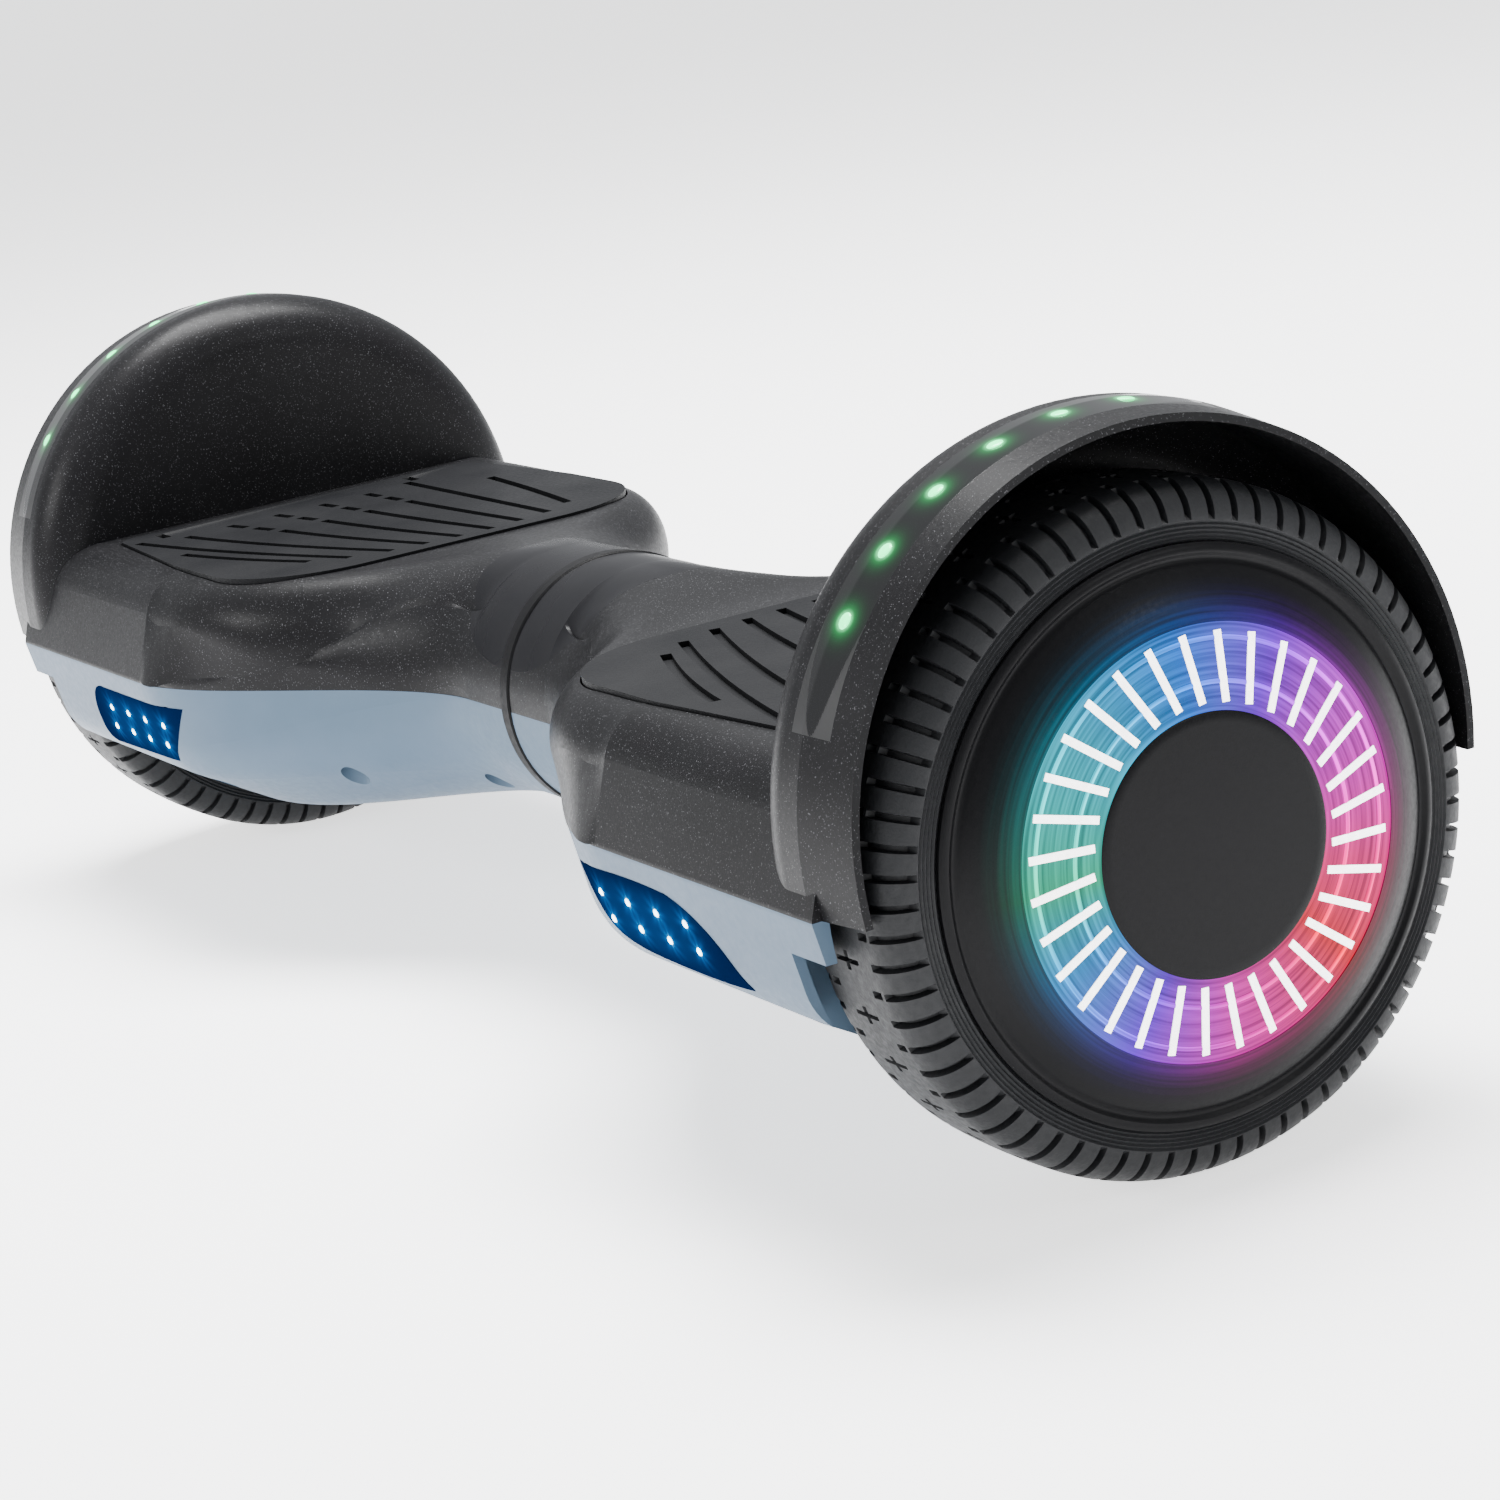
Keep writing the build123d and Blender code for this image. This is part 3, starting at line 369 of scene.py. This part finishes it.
def halo_finish(name, base, glow, core, strength, level, coat, rough_mask=False):
    """Dark gloss with a coloured halo round each lamp, from the mesh's halo value."""
    made = Finish(name, base, 0.08, coat=coat)
    made.bsdf.inputs["Specular IOR Level"].default_value = level
    halo = made.value("halo")
    tint = made.mix(made.span(halo, 0.5, 1.0, 0.0, 1.0), glow, core)
    made.glow(tint, made.math("MULTIPLY", halo, strength))
    made.colour(made.ramp(made.noise(60, 3), [(0.3, base), (0.7, tuple(1.4 * c for c in base))]))
    if rough_mask:
        made.feed(made.bsdf.inputs["Roughness"], made.span(made.value("gloss"), 0.0, 1.0, 0.38, 0.07))
    else:
        made.rough(made.noise(300, 2), 0.06, 0.14)
    return made


strip_finish = halo_finish("strip_gloss", (0.0015, 0.0015, 0.0018), (0.0, 0.35, 0.07, 1), (0.1, 0.9, 0.3, 1),
                           1.6, 0.4, 0.15, True)
lens_finish = halo_finish("lens_blue", (0.0005, 0.004, 0.02), (0.0, 0.16, 0.55, 1), (0.04, 0.50, 1.0, 1),
                          1.3, 0.0, 0.0)
led_green = lit("led_green", (0.02, 0.85, 0.25), 3.2)

FINISH_OF_SLOT = {
    "shell_black": shell_black, "shell_grey": shell_grey, "gloss_black": gloss_black, "led_green": led_green,
    "pad_rubber": pad_rubber, "lens_blue": lens_finish, "led_white": led_white, "cast_alloy": alloy,
    "screw_steel": screw_steel, "circuit_board": board_green, "tyre": tyre_rubber, "magnet": nickel,
    "hub_plastic": hub_black, "light_ring": ring_glow, "light_bar": bar_white, "bearing_steel": bright_steel,
    "axle_steel": turned_steel, "stator_steel": laminated, "copper": copper, "battery_wrap": film_blue,
    "bush_brass": bush_brass, "seal_rubber": seal_rubber,
}
for part in frame["record"]["subparts"]:
    node = frame["nodes"][part["node"]]
    node.data.materials.clear()
    node.data.materials.append(FINISH_OF_SLOT[part["material_slot"]].material)


# ---------------------------------------------------------------- body surface, repeated from the CAD
AXLE_HEIGHT = 82.5
COLLAR_RADIUS = 37.5
COLLAR_END = 25.0
COLLAR_ROUNDING = 0.96
SHOULDER_END = 158.0
CROWN_END = 92.0
HULL = [(80.0, 114.5), (90.0, AXLE_HEIGHT), (84.0, 54.0), (50.0, 34.0)]
HULL_ROUNDS = [16.0, 3.6, 18.0, 20.0]
FACE_LENGTH = math.hypot(HULL[1][0] - HULL[2][0], HULL[1][1] - HULL[2][1])


def ease(x, start, end):
    t = min(max((x - start) / (end - start), 0.0), 1.0)
    return t * t * (3 - 2 * t)


def section(x):
    """Front half of the body outline at x, in millimetres, as (y, z) points from top to bottom."""
    grow = ease(x, COLLAR_END, SHOULDER_END)
    drop = ease(x, COLLAR_END, CROWN_END)
    near = COLLAR_RADIUS * math.tan(math.radians(22.5))  # the collar is a rounded octagon
    collar = [(near, COLLAR_RADIUS), (COLLAR_RADIUS, near), (COLLAR_RADIUS, -near), (near, -COLLAR_RADIUS)]
    corners, radii = [], []
    for i, (first, last) in enumerate(zip(collar, HULL)):
        rise = drop if i == 0 else grow
        corners.append((first[0] + (last[0] - first[0]) * grow,
                        AXLE_HEIGHT + first[1] + (last[1] - AXLE_HEIGHT - first[1]) * rise))
        radii.append(COLLAR_ROUNDING * COLLAR_RADIUS * (1 - grow) + HULL_ROUNDS[i] * grow)
    outline = rounded(corners + [(-y, z) for y, z in reversed(corners)], radii + radii[::-1], 14)
    front = np.array([point for point in outline if point[0] > 0])
    return front[np.argsort(-front[:, 1])]


def front_skin(x, drop, proud):
    """Point and normal on the front face, drop mm below the ridge, in metres."""
    outline = section(x)
    z = AXLE_HEIGHT - drop * (HULL[1][1] - HULL[2][1]) / FACE_LENGTH
    heights, widths = outline[::-1, 1], outline[::-1, 0]
    y = np.interp(z, heights, widths)
    slope = np.interp(z + 0.5, heights, widths) - np.interp(z - 0.5, heights, widths)
    normal = Vector((0, -1, -slope)).normalized()
    return Vector((x, -y, z)) * MM + normal * proud * MM, normal


# ---------------------------------------------------------------- lamps
def dome(centre, normal, radius, height, rings=6, segments=28):
    """Points and faces of a small closed lamp dome."""
    side = normal.orthogonal().normalized()
    other = normal.cross(side)
    points = []
    for ring in range(rings + 1):
        tilt = ring * math.pi / 2 / rings
        r, h = radius * math.cos(tilt), height * math.sin(tilt)
        for s in range(segments):
            around = TURN * s / segments
            points.append(centre + normal * h + (side * math.cos(around) + other * math.sin(around)) * r)
    faces = grid_faces(rings + 1, segments, False, True)
    faces.append(list(range(segments)))
    return [tuple(p) for p in points], faces


def domes(places, radius, height, sign):
    """One mesh of small lamp domes, one at each place."""
    points, faces = [], []
    for centre, normal in places:
        new_points, new_faces = dome(centre, normal, radius, height)
        faces += [[i + len(points) for i in face] for face in new_faces]
        points += new_points
    return mesh_of(points, faces, sign)


STRIP_START, STRIP_END = 257.0, 272.0
STRIP_TOP, STRIP_TIP = -21.0, 70.0
LED_FIRST, LED_PITCH, LED_COUNT = -7.0, 11.9, 6
LED_RADIUS, LED_HALO = 2.2, 1.3
STRIP_SUNK, LED_SUNK, STRIP_BACK = 0.02, 0.1, 1.1
STRIP_ROWS, STRIP_COLUMNS = 181, 31
STRIP_DOME = (2.1 * MM, 0.5 * MM)
STRIP_MIDDLE = (STRIP_START + STRIP_END) / 2
CROWN_X, LIP_X, LIP_DROP = 262.0, 282.0, 2.5


def arch_point(x, degrees, proud):
    """Point on the fender's outer surface, angle from straight up towards the front."""
    radius = FENDER_RADIUS / MM - max(x - CROWN_X, 0) * LIP_DROP / (LIP_X - CROWN_X) + proud
    lean = math.radians(degrees)
    return Vector((x, -radius * math.sin(lean), FENDER_Z / MM + radius * math.cos(lean))) * MM


def fender_lamps(side, sign):
    """Glossy light strip round the fender with its six green lamps."""
    angles = np.linspace(STRIP_TOP, STRIP_TIP, STRIP_ROWS)
    across = np.linspace(STRIP_START, STRIP_END, STRIP_COLUMNS)
    outer = np.array([[arch_point(x, a, -STRIP_SUNK) for x in across] for a in angles])
    inner = np.array([[arch_point(x, a, -STRIP_BACK) for x in across] for a in angles])
    nearest = np.clip(np.round((angles - LED_FIRST) / LED_PITCH), 0, LED_COUNT - 1)
    along = np.radians(angles - LED_FIRST - nearest * LED_PITCH) * FENDER_RADIUS / MM
    distance = np.hypot(along[:, None], (across - STRIP_MIDDLE)[None, :])
    halo = np.exp(-np.maximum(distance - LED_RADIUS, 0) / LED_HALO)
    taper_low = np.clip((STRIP_TIP - angles) / 18.0, 0, 1) ** 0.6
    taper_top = np.clip((angles - STRIP_TOP) / 14.0, 0, 1) ** 0.6
    half_width = (STRIP_END - STRIP_START) / 2 * np.minimum(taper_low, taper_top)
    gloss = np.clip((half_width[:, None] - np.abs(across - STRIP_MIDDLE)[None, :]) / 0.5 + 0.5, 0, 1)
    mesh = slab(outer, inner, sign, {"halo": halo, "gloss": gloss})
    finish_mesh(f"{side}_strip", mesh, strip_finish.material, f"{side}_frame",
                [f"{side}_fender_strip"], 60)
    places = []
    for index in range(LED_COUNT):
        spot = arch_point(STRIP_MIDDLE, LED_FIRST + LED_PITCH * index, -LED_SUNK)
        places.append((spot, (spot - Vector((spot.x, 0, FENDER_Z))).normalized()))
    finish_mesh(f"{side}_strip_lamps", domes(places, *STRIP_DOME, sign), led_green.material,
                f"{side}_frame", [f"{side}_fender_leds"])


LAMP_CENTRE, LENS_DROP, LAMP_PITCH = 174.0, 17.5, 15.0
LENS_PROUD, LENS_BACK, LAMP_PROUD = 0.15, 1.2, 0.12
LENS_COLUMNS, LENS_ROWS = 141, 45
LAMP_DOME = (1.15 * MM, 0.45 * MM)
HALO_CORE, HALO_STAR, HALO_POINTS = 2.2, 3.6, 8
LEAF_TOP = arc((-37, 9), (-10, 11), (16, 10.5)) + arc((16, 10.5), (33, 3.5), (46, -10))
LEAF_LOW = arc((-37, 9), (-26, -3.5), (-8, -11)) + arc((-8, -11), (19, -12), (46, -10))
ROUND_TOP = [(-37, 10.5), (24, 10.5)] + arc((24, 10.5), (36, 6), (39, -6))
ROUND_LOW = [(-37, 10.5), (-22, -9), (35, -11)] + arc((35, -11), (38.5, -10), (39, -6))
LAMPS = [((column - 1.5) * LAMP_PITCH + shift, row)
         for row, shift in ((3.6, 0.0), (-3.4, 2.5)) for column in range(4)]


def headlight(side, sign, top, low):
    """Blue lens on the front face and its eight white lamps with star-shaped halos."""
    top, low = np.array(top), np.array(low)
    start, end = top[0, 0], top[-1, 0]
    share = (1 - np.cos(np.linspace(0, math.pi, LENS_COLUMNS))) / 2
    along = start + (end - start) * share
    high = np.interp(along, top[:, 0], top[:, 1])
    under = np.interp(along, low[:, 0], low[:, 1])
    levels = np.linspace(0, 1, LENS_ROWS)
    u = np.repeat(along[:, None], len(levels), 1)
    v = under[:, None] + (high - under)[:, None] * levels[None, :]
    outer, inner = np.zeros((*u.shape, 3)), np.zeros((*u.shape, 3))
    for i in range(u.shape[0]):
        for j in range(u.shape[1]):
            outer[i, j] = front_skin(LAMP_CENTRE + u[i, j], LENS_DROP - v[i, j], LENS_PROUD)[0]
            inner[i, j] = front_skin(LAMP_CENTRE + u[i, j], LENS_DROP - v[i, j], -LENS_BACK)[0]
    halo = np.zeros(u.shape)
    for lamp_u, lamp_v in LAMPS:
        du, dv = u - lamp_u, v - lamp_v
        distance = np.hypot(du, dv)
        petals = 0.55 + 0.45 * np.cos(HALO_POINTS * np.arctan2(dv, du))
        star = petals * np.exp(-(distance / HALO_STAR) ** 2) * 0.45
        halo += np.exp(-(distance / HALO_CORE) ** 2) * 0.5 + star
    middle = np.exp(-((u - 1.0) / 27.0) ** 4) * np.exp(-(v / 9.0) ** 4)
    halo = np.clip(halo + 0.16 * middle, 0, 1)
    finish_mesh(f"{side}_lens", slab(outer, inner, sign, {"halo": halo}), lens_finish.material,
                f"{side}_frame", [f"{side}_headlight_lens"], 60)
    places = [front_skin(LAMP_CENTRE + a, LENS_DROP - b, LAMP_PROUD) for a, b in LAMPS]
    finish_mesh(f"{side}_lens_lamps", domes(places, *LAMP_DOME, sign), led_white.material,
                f"{side}_frame", [f"{side}_headlight_leds"])


# ---------------------------------------------------------------- tyre
PITCHES = 72
GROOVE_DEPTH = 2.0
BEAD_RADIUS, BEAD_SET_IN = 66.6, 1.8
TREAD_CROWN = 0.0022
TYRE_MIDDLE = (TYRE_IN + TYRE_OUT) / 2 / MM
TYRE_HALF = (TYRE_OUT - TYRE_IN) / 2 / MM


def soft_step(value, low, high):
    t = np.clip((value - low) / (high - low), 0, 1)
    return t * t * (3 - 2 * t)


def tyre_profile():
    """Half section of the tyre from the middle of the tread to the bead, as (offset, radius) in mm."""
    crown = TYRE_RADIUS / MM
    offsets = (0, 0.45, 0.8, 2, 3.4, 4.4, 4.9, 6, 7.4, 8, 9, 10.4, 11, 12)
    tread = [(d, crown - TREAD_CROWN * d * d) for d in offsets]
    edge = tread[-1]
    shoulder = arc(edge, (TYRE_HALF - 3.0, crown - 3.4), (TYRE_HALF - 0.2, crown - 9.2), 14)[1:]
    ribs = []
    for step in range(25):
        radius = crown - 9.4 - step * 0.17
        ribs.append((TYRE_HALF - 0.2 - 0.22 * (1 - math.cos(TURN * step / 6)), radius))
    return tread + shoulder + ribs + [(TYRE_HALF - 0.6, crown - 14.0), (TYRE_HALF - 1.4, crown - 15.6)]


def tyre(side, sign):
    """Treaded tyre: long and short shoulder grooves by turns, with cross-shaped cuts between."""
    half = np.array(tyre_profile())
    section_points = np.concatenate([half[::-1] * (-1, 1), half[1:]])
    tangent = np.gradient(section_points, axis=0)
    normal = np.stack([-tangent[:, 1], tangent[:, 0]], -1)
    normal /= np.linalg.norm(normal, axis=1)[:, None]
    half_marks = np.array([0.04, 0.09, 0.14, 0.20, 0.30, 0.34, 0.42])
    marks = np.concatenate([-half_marks[::-1], half_marks])
    pitch = (np.arange(PITCHES)[:, None] + 0.5 + marks[None, :]).ravel()
    local = np.tile(marks, PITCHES)
    even = np.repeat(np.arange(PITCHES) % 2 == 0, len(marks))
    offset = np.abs(section_points[:, 0])
    crown = TYRE_RADIUS / MM
    on_tread = soft_step(section_points[:, 1], crown - 9.0, crown - 7.6)
    wide = 1 - soft_step(np.abs(local), 0.09, 0.14)
    narrow = 1 - soft_step(np.abs(local), 0.04, 0.09)
    long_groove = np.outer(wide * even, soft_step(offset, 10.4, 11.0) * on_tread)
    short_groove = np.outer(wide * ~even, soft_step(offset, 12.0, 12.9) * on_tread)
    slot = np.outer(wide * ~even, soft_step(offset, 7.4, 8.0) * (1 - soft_step(offset, 10.4, 11.0)))
    cut = np.outer(narrow * even, 1 - soft_step(offset, 4.4, 4.9))
    cross = np.outer((1 - soft_step(np.abs(local), 0.30, 0.34)) * even, 1 - soft_step(offset, 0.45, 0.8))
    depth = GROOVE_DEPTH * np.maximum.reduce([long_groove, short_groove, slot, 0.7 * cut, 0.7 * cross])
    x = TYRE_MIDDLE + section_points[None, :, 0] - normal[None, :, 0] * depth
    r = section_points[None, :, 1] - normal[None, :, 1] * depth
    angle = pitch[:, None] * TURN / PITCHES
    outer = np.stack([x, r * np.sin(angle), AXLE_Z / MM + r * np.cos(angle)], -1)
    bead_x = np.array([TYRE_OUT / MM - BEAD_SET_IN, TYRE_IN / MM + BEAD_SET_IN])
    bead = np.stack([np.repeat(bead_x[None, :], len(pitch), 0), BEAD_RADIUS * np.sin(angle) * np.ones(2),
                     AXLE_Z / MM + BEAD_RADIUS * np.cos(angle) * np.ones(2)], -1)
    points = np.concatenate([outer, bead], 1) * MM
    mesh = mesh_of(points, grid_faces(points.shape[0], points.shape[1], True, True), sign)
    finish_mesh(f"{side}_tread", mesh, tyre_rubber.material, f"{side}_wheel", [f"{side}_tyre"], 32)


# ---------------------------------------------------------------- hub
HUB_STEP, HUB_CAP = 293.5, 295.5
CAP_CROWN = 0.5
RING_SUNK = 0.3
CIRCLE_RADII = (("inner", 37.6), ("outer", 47.4))


def hub(side, sign):
    """Wheel cover with its rim groove, shallow flare and domed middle, and the lit ring round it."""
    x = HUB_APEX / MM
    flare = arc((287.8, 63.2), (291.2, 57.6), (HUB_STEP, LIGHT_OUTER), 20)
    cap = [(x - CAP_CROWN * (r / LIGHT_INNER) ** 2, r) for r in np.linspace(LIGHT_INNER - 0.6, 0, 16)]
    loop = [(284.5, 0.0), (284.5, 68.3), (286.6, 68.3), (287.0, 67.9), (287.5, 66.4), (287.4, 66.0),
            (286.8, 65.4), (286.7, 64.8), (286.8, 64.2), (287.5, 63.5)]
    loop += flare + [(HUB_STEP - 2.4, LIGHT_OUTER), (HUB_CAP - 2.4, LIGHT_INNER)]
    loop += [(HUB_CAP - 0.3, LIGHT_INNER)] + cap
    finish_mesh(f"{side}_hub", turned(np.array(loop) * MM, sign), hub_black.material, f"{side}_wheel",
                [f"{side}_hub_cover"], 40)
    rise, width = HUB_CAP - HUB_STEP, LIGHT_OUTER - LIGHT_INNER
    face = [(HUB_STEP - RING_SUNK + rise * s, LIGHT_OUTER - width * s) for s in np.linspace(0, 1, 21)]
    ring = face + [(HUB_CAP - 2.3, LIGHT_INNER), (HUB_STEP - 2.3, LIGHT_OUTER)]
    finish_mesh(f"{side}_ring", turned(np.array(ring) * MM, sign), ring_glow.material, f"{side}_wheel",
                [f"{side}_light_ring"], 40)
    for label, radius in CIRCLE_RADII:
        middle = HUB_STEP - RING_SUNK + rise * (LIGHT_OUTER - radius) / width
        around = np.linspace(0, TURN, 13)[:-1]
        loop = [(middle + 0.28 * math.cos(a), radius + 0.55 * math.sin(a)) for a in around]
        finish_mesh(f"{side}_{label}_circle", turned(np.array(loop) * MM, sign), circle_glow.material,
                    f"{side}_wheel")


# ---------------------------------------------------------------- foot pads
PAD_IN, PAD_OUT, PAD_HALF, PAD_TIP = 95.0, 229.0, 70.0, 64.0
PAD_MIDDLE = (PAD_IN + PAD_OUT) / 2


def prism(outline, low, high):
    """Closed solid over a plan outline, in millimetres."""
    count = len(outline)
    points = [(x, y, z) for z in (low, high) for x, y in outline]
    faces = [list(range(count))[::-1], list(range(count, 2 * count))]
    faces += [[i, (i + 1) % count, count + (i + 1) % count, count + i] for i in range(count)]
    return points, faces


def groove(line, width):
    """Plan outline of a groove with square ends along a line of points."""
    line = [Vector(point) for point in line]
    left, right = [], []
    for i, point in enumerate(line):
        ahead = (line[min(i + 1, len(line) - 1)] - line[max(i - 1, 0)]).normalized()
        side = Vector((-ahead.y, ahead.x)) * width / 2
        left.append(tuple(point + side))
        right.append(tuple(point - side))
    return left + right[::-1]


# each long groove: outer x, inner x, y at its inner end, and how far forward its outer end lies
PAD_BARS = [(178, 118, -43, 18), (216, 109, -33, 29), (208, 104, -21, 27), (180, 102, -10, 16),
            (180, 101, 1, 12), (180, 101, 12, 8), (180, 103, 23, 4), (214, 106, 34, 0), (188, 114, 45, -8)]
DASHED_BARS = range(3, 7)
GROOVE_WIDTH = 3.0
PLATE_THICK = 3.0
GROOVE_SINK = 1.5
EDGE_SOFTENING = 0.45


def pad_grooves():
    """Long grooves that fan out from the shoulder, the middle ones carried on by short dashes."""
    grooves = []
    for index, (outer_x, inner_x, y, lean) in enumerate(PAD_BARS):
        slope = lean / (outer_x - inner_x)
        steps = np.linspace(0, 1, 13)
        line = [(inner_x + (outer_x - inner_x) * s, y - lean * (s + 0.35 * s * (1 - s))) for s in steps]
        grooves.append(groove(line, GROOVE_WIDTH))
        if index in DASHED_BARS:
            for start, end in ((185, 195), (200, 210)):
                dash = [(start, y - slope * (start - inner_x)), (end, y - slope * (end - inner_x))]
                grooves.append(groove(dash, GROOVE_WIDTH))
    for y in (-44, 46):
        grooves.append(groove([(215, y - 8), (224, y - 8)], GROOVE_WIDTH))
    return grooves


def solid_object(shapes, sign):
    """Object made of closed solids, in metres."""
    points, faces = [], []
    for new_points, new_faces in shapes:
        faces += [[i + len(points) for i in face] for face in new_faces]
        points += new_points
    mesh = mesh_of(np.array(points) * MM, faces, sign)
    work = bmesh.new()
    work.from_mesh(mesh)
    bmesh.ops.recalc_face_normals(work, faces=work.faces)
    work.to_mesh(mesh)
    work.free()
    made = bpy.data.objects.new("solid", mesh)
    bpy.context.scene.collection.objects.link(made)
    return made


def applied(made):
    """Mesh of an object with its modifiers applied; the object is deleted."""
    bpy.context.view_layer.update()
    graph = bpy.context.evaluated_depsgraph_get()
    mesh = bpy.data.meshes.new_from_object(made.evaluated_get(graph))
    bpy.data.objects.remove(made)
    return mesh


def pad(side, sign):
    """Rubber foot pad: one plate with its grooves cut in and its edges softened."""
    corners = [(PAD_OUT, -PAD_TIP), (PAD_OUT, PAD_TIP), (PAD_MIDDLE, PAD_HALF), (PAD_IN, PAD_HALF),
               (PAD_IN, -PAD_HALF), (PAD_MIDDLE, -PAD_HALF)]
    outline = rounded(corners, [6, 6, 30, 36, 36, 30], 16)
    top = PAD_TOP / MM
    plate = solid_object([prism(outline, top - PLATE_THICK, top)], sign)
    cutters = solid_object([prism(shape, top - GROOVE_SINK, top + 1.0) for shape in pad_grooves()], sign)
    cut = plate.modifiers.new("grooves", "BOOLEAN")
    cut.object = cutters
    cut.operation = "DIFFERENCE"
    cut.solver = "EXACT"
    soften = plate.modifiers.new("soften", "BEVEL")
    soften.width = EDGE_SOFTENING * MM
    soften.segments = 3
    soften.limit_method = "ANGLE"
    soften.angle_limit = math.radians(50)
    mesh = applied(plate)
    bpy.data.objects.remove(cutters)
    finish_mesh(f"{side}_pad_rubber", mesh, pad_rubber.material, f"{side}_pad",
                [f"{side}_foot_pad"], 50)


for side, sign in SIDES:
    tyre(side, sign)
    hub(side, sign)
    pad(side, sign)
    fender_lamps(side, sign)
headlight("right", 1, LEAF_TOP, LEAF_LOW)
headlight("left", -1, ROUND_TOP, ROUND_LOW)


# ---------------------------------------------------------------- floor, light and camera
FLOOR_HALF = 14.0
FLOOR_GLOW = 1.6
WORLD_STRENGTH = 0.75
CAMERA_PLACE = (1.04726, -0.49927, 0.33906)
CAMERA_AZIMUTH, CAMERA_ELEVATION, CAMERA_ROLL = 62.86, 13.69, -8.49
CAMERA_LENS, SENSOR_WIDTH = 98.6856, 36.0
# each softbox: name, place, what it faces, width and height, watts
SOFTBOXES = (("top", (-0.35, 0.35, 1.9), (0, 0, 0.05), (1.6, 0.9), 200),
             ("front_left", (-0.5, -1.9, 1.0), (-0.05, 0, 0.08), (0.9, 0.5), 30),
             ("wheel_side", (1.9, 0.9, 1.1), (0.28, 0, 0.08), (0.5, 0.5), 8))


def floor():
    made = Finish("floor", (0.80, 0.80, 0.81), 0.55)
    made.glow((1.0, 1.0, 1.0, 1), FLOOR_GLOW)
    made.colour(made.ramp(made.noise(3, 3), [(0.3, (0.80, 0.80, 0.81)), (0.7, (0.82, 0.82, 0.83))]))
    mesh = bpy.data.meshes.new("floor")
    corners = [(x * FLOOR_HALF, y * FLOOR_HALF, 0) for x, y in ((-1, -1), (1, -1), (1, 1), (-1, 1))]
    mesh.from_pydata(corners, [], [(0, 1, 2, 3)])
    mesh.materials.append(made.material)
    ground = bpy.data.objects.new("floor", mesh)
    bpy.context.scene.collection.objects.link(ground)


def softbox(name, place, target, size, power):
    lamp = bpy.data.lights.new(name, "AREA")
    lamp.shape = "RECTANGLE"
    lamp.size, lamp.size_y = size
    lamp.energy = power
    holder = bpy.data.objects.new(name, lamp)
    holder.location = place
    holder.rotation_euler = (Vector(target) - Vector(place)).to_track_quat("-Z", "Y").to_euler()
    bpy.context.scene.collection.objects.link(holder)


def camera(place, azimuth, elevation, roll, lens):
    a, e, r = map(math.radians, (azimuth, elevation, roll))
    back = Vector((math.sin(a) * math.cos(e), -math.cos(a) * math.cos(e), math.sin(e)))
    level = Vector((math.cos(a), math.sin(a), 0))
    up = back.cross(level)
    right = level * math.cos(r) + up * math.sin(r)
    above = up * math.cos(r) - level * math.sin(r)
    data = bpy.data.cameras.new("camera")
    data.sensor_width = SENSOR_WIDTH
    data.lens = lens
    data.clip_start = 0.02
    holder = bpy.data.objects.new("camera", data)
    holder.matrix_world = Matrix((right, above, back)).transposed().to_4x4()
    holder.location = place
    bpy.context.scene.collection.objects.link(holder)
    bpy.context.scene.camera = holder


floor()
world = bpy.data.worlds.new("studio")
world.use_nodes = True
world.node_tree.nodes["Background"].inputs["Color"].default_value = (0.95, 0.97, 1.0, 1)
world.node_tree.nodes["Background"].inputs["Strength"].default_value = WORLD_STRENGTH
bpy.context.scene.world = world
for softbox_row in SOFTBOXES:
    softbox(*softbox_row)
camera(CAMERA_PLACE, CAMERA_AZIMUTH, CAMERA_ELEVATION, CAMERA_ROLL, CAMERA_LENS)
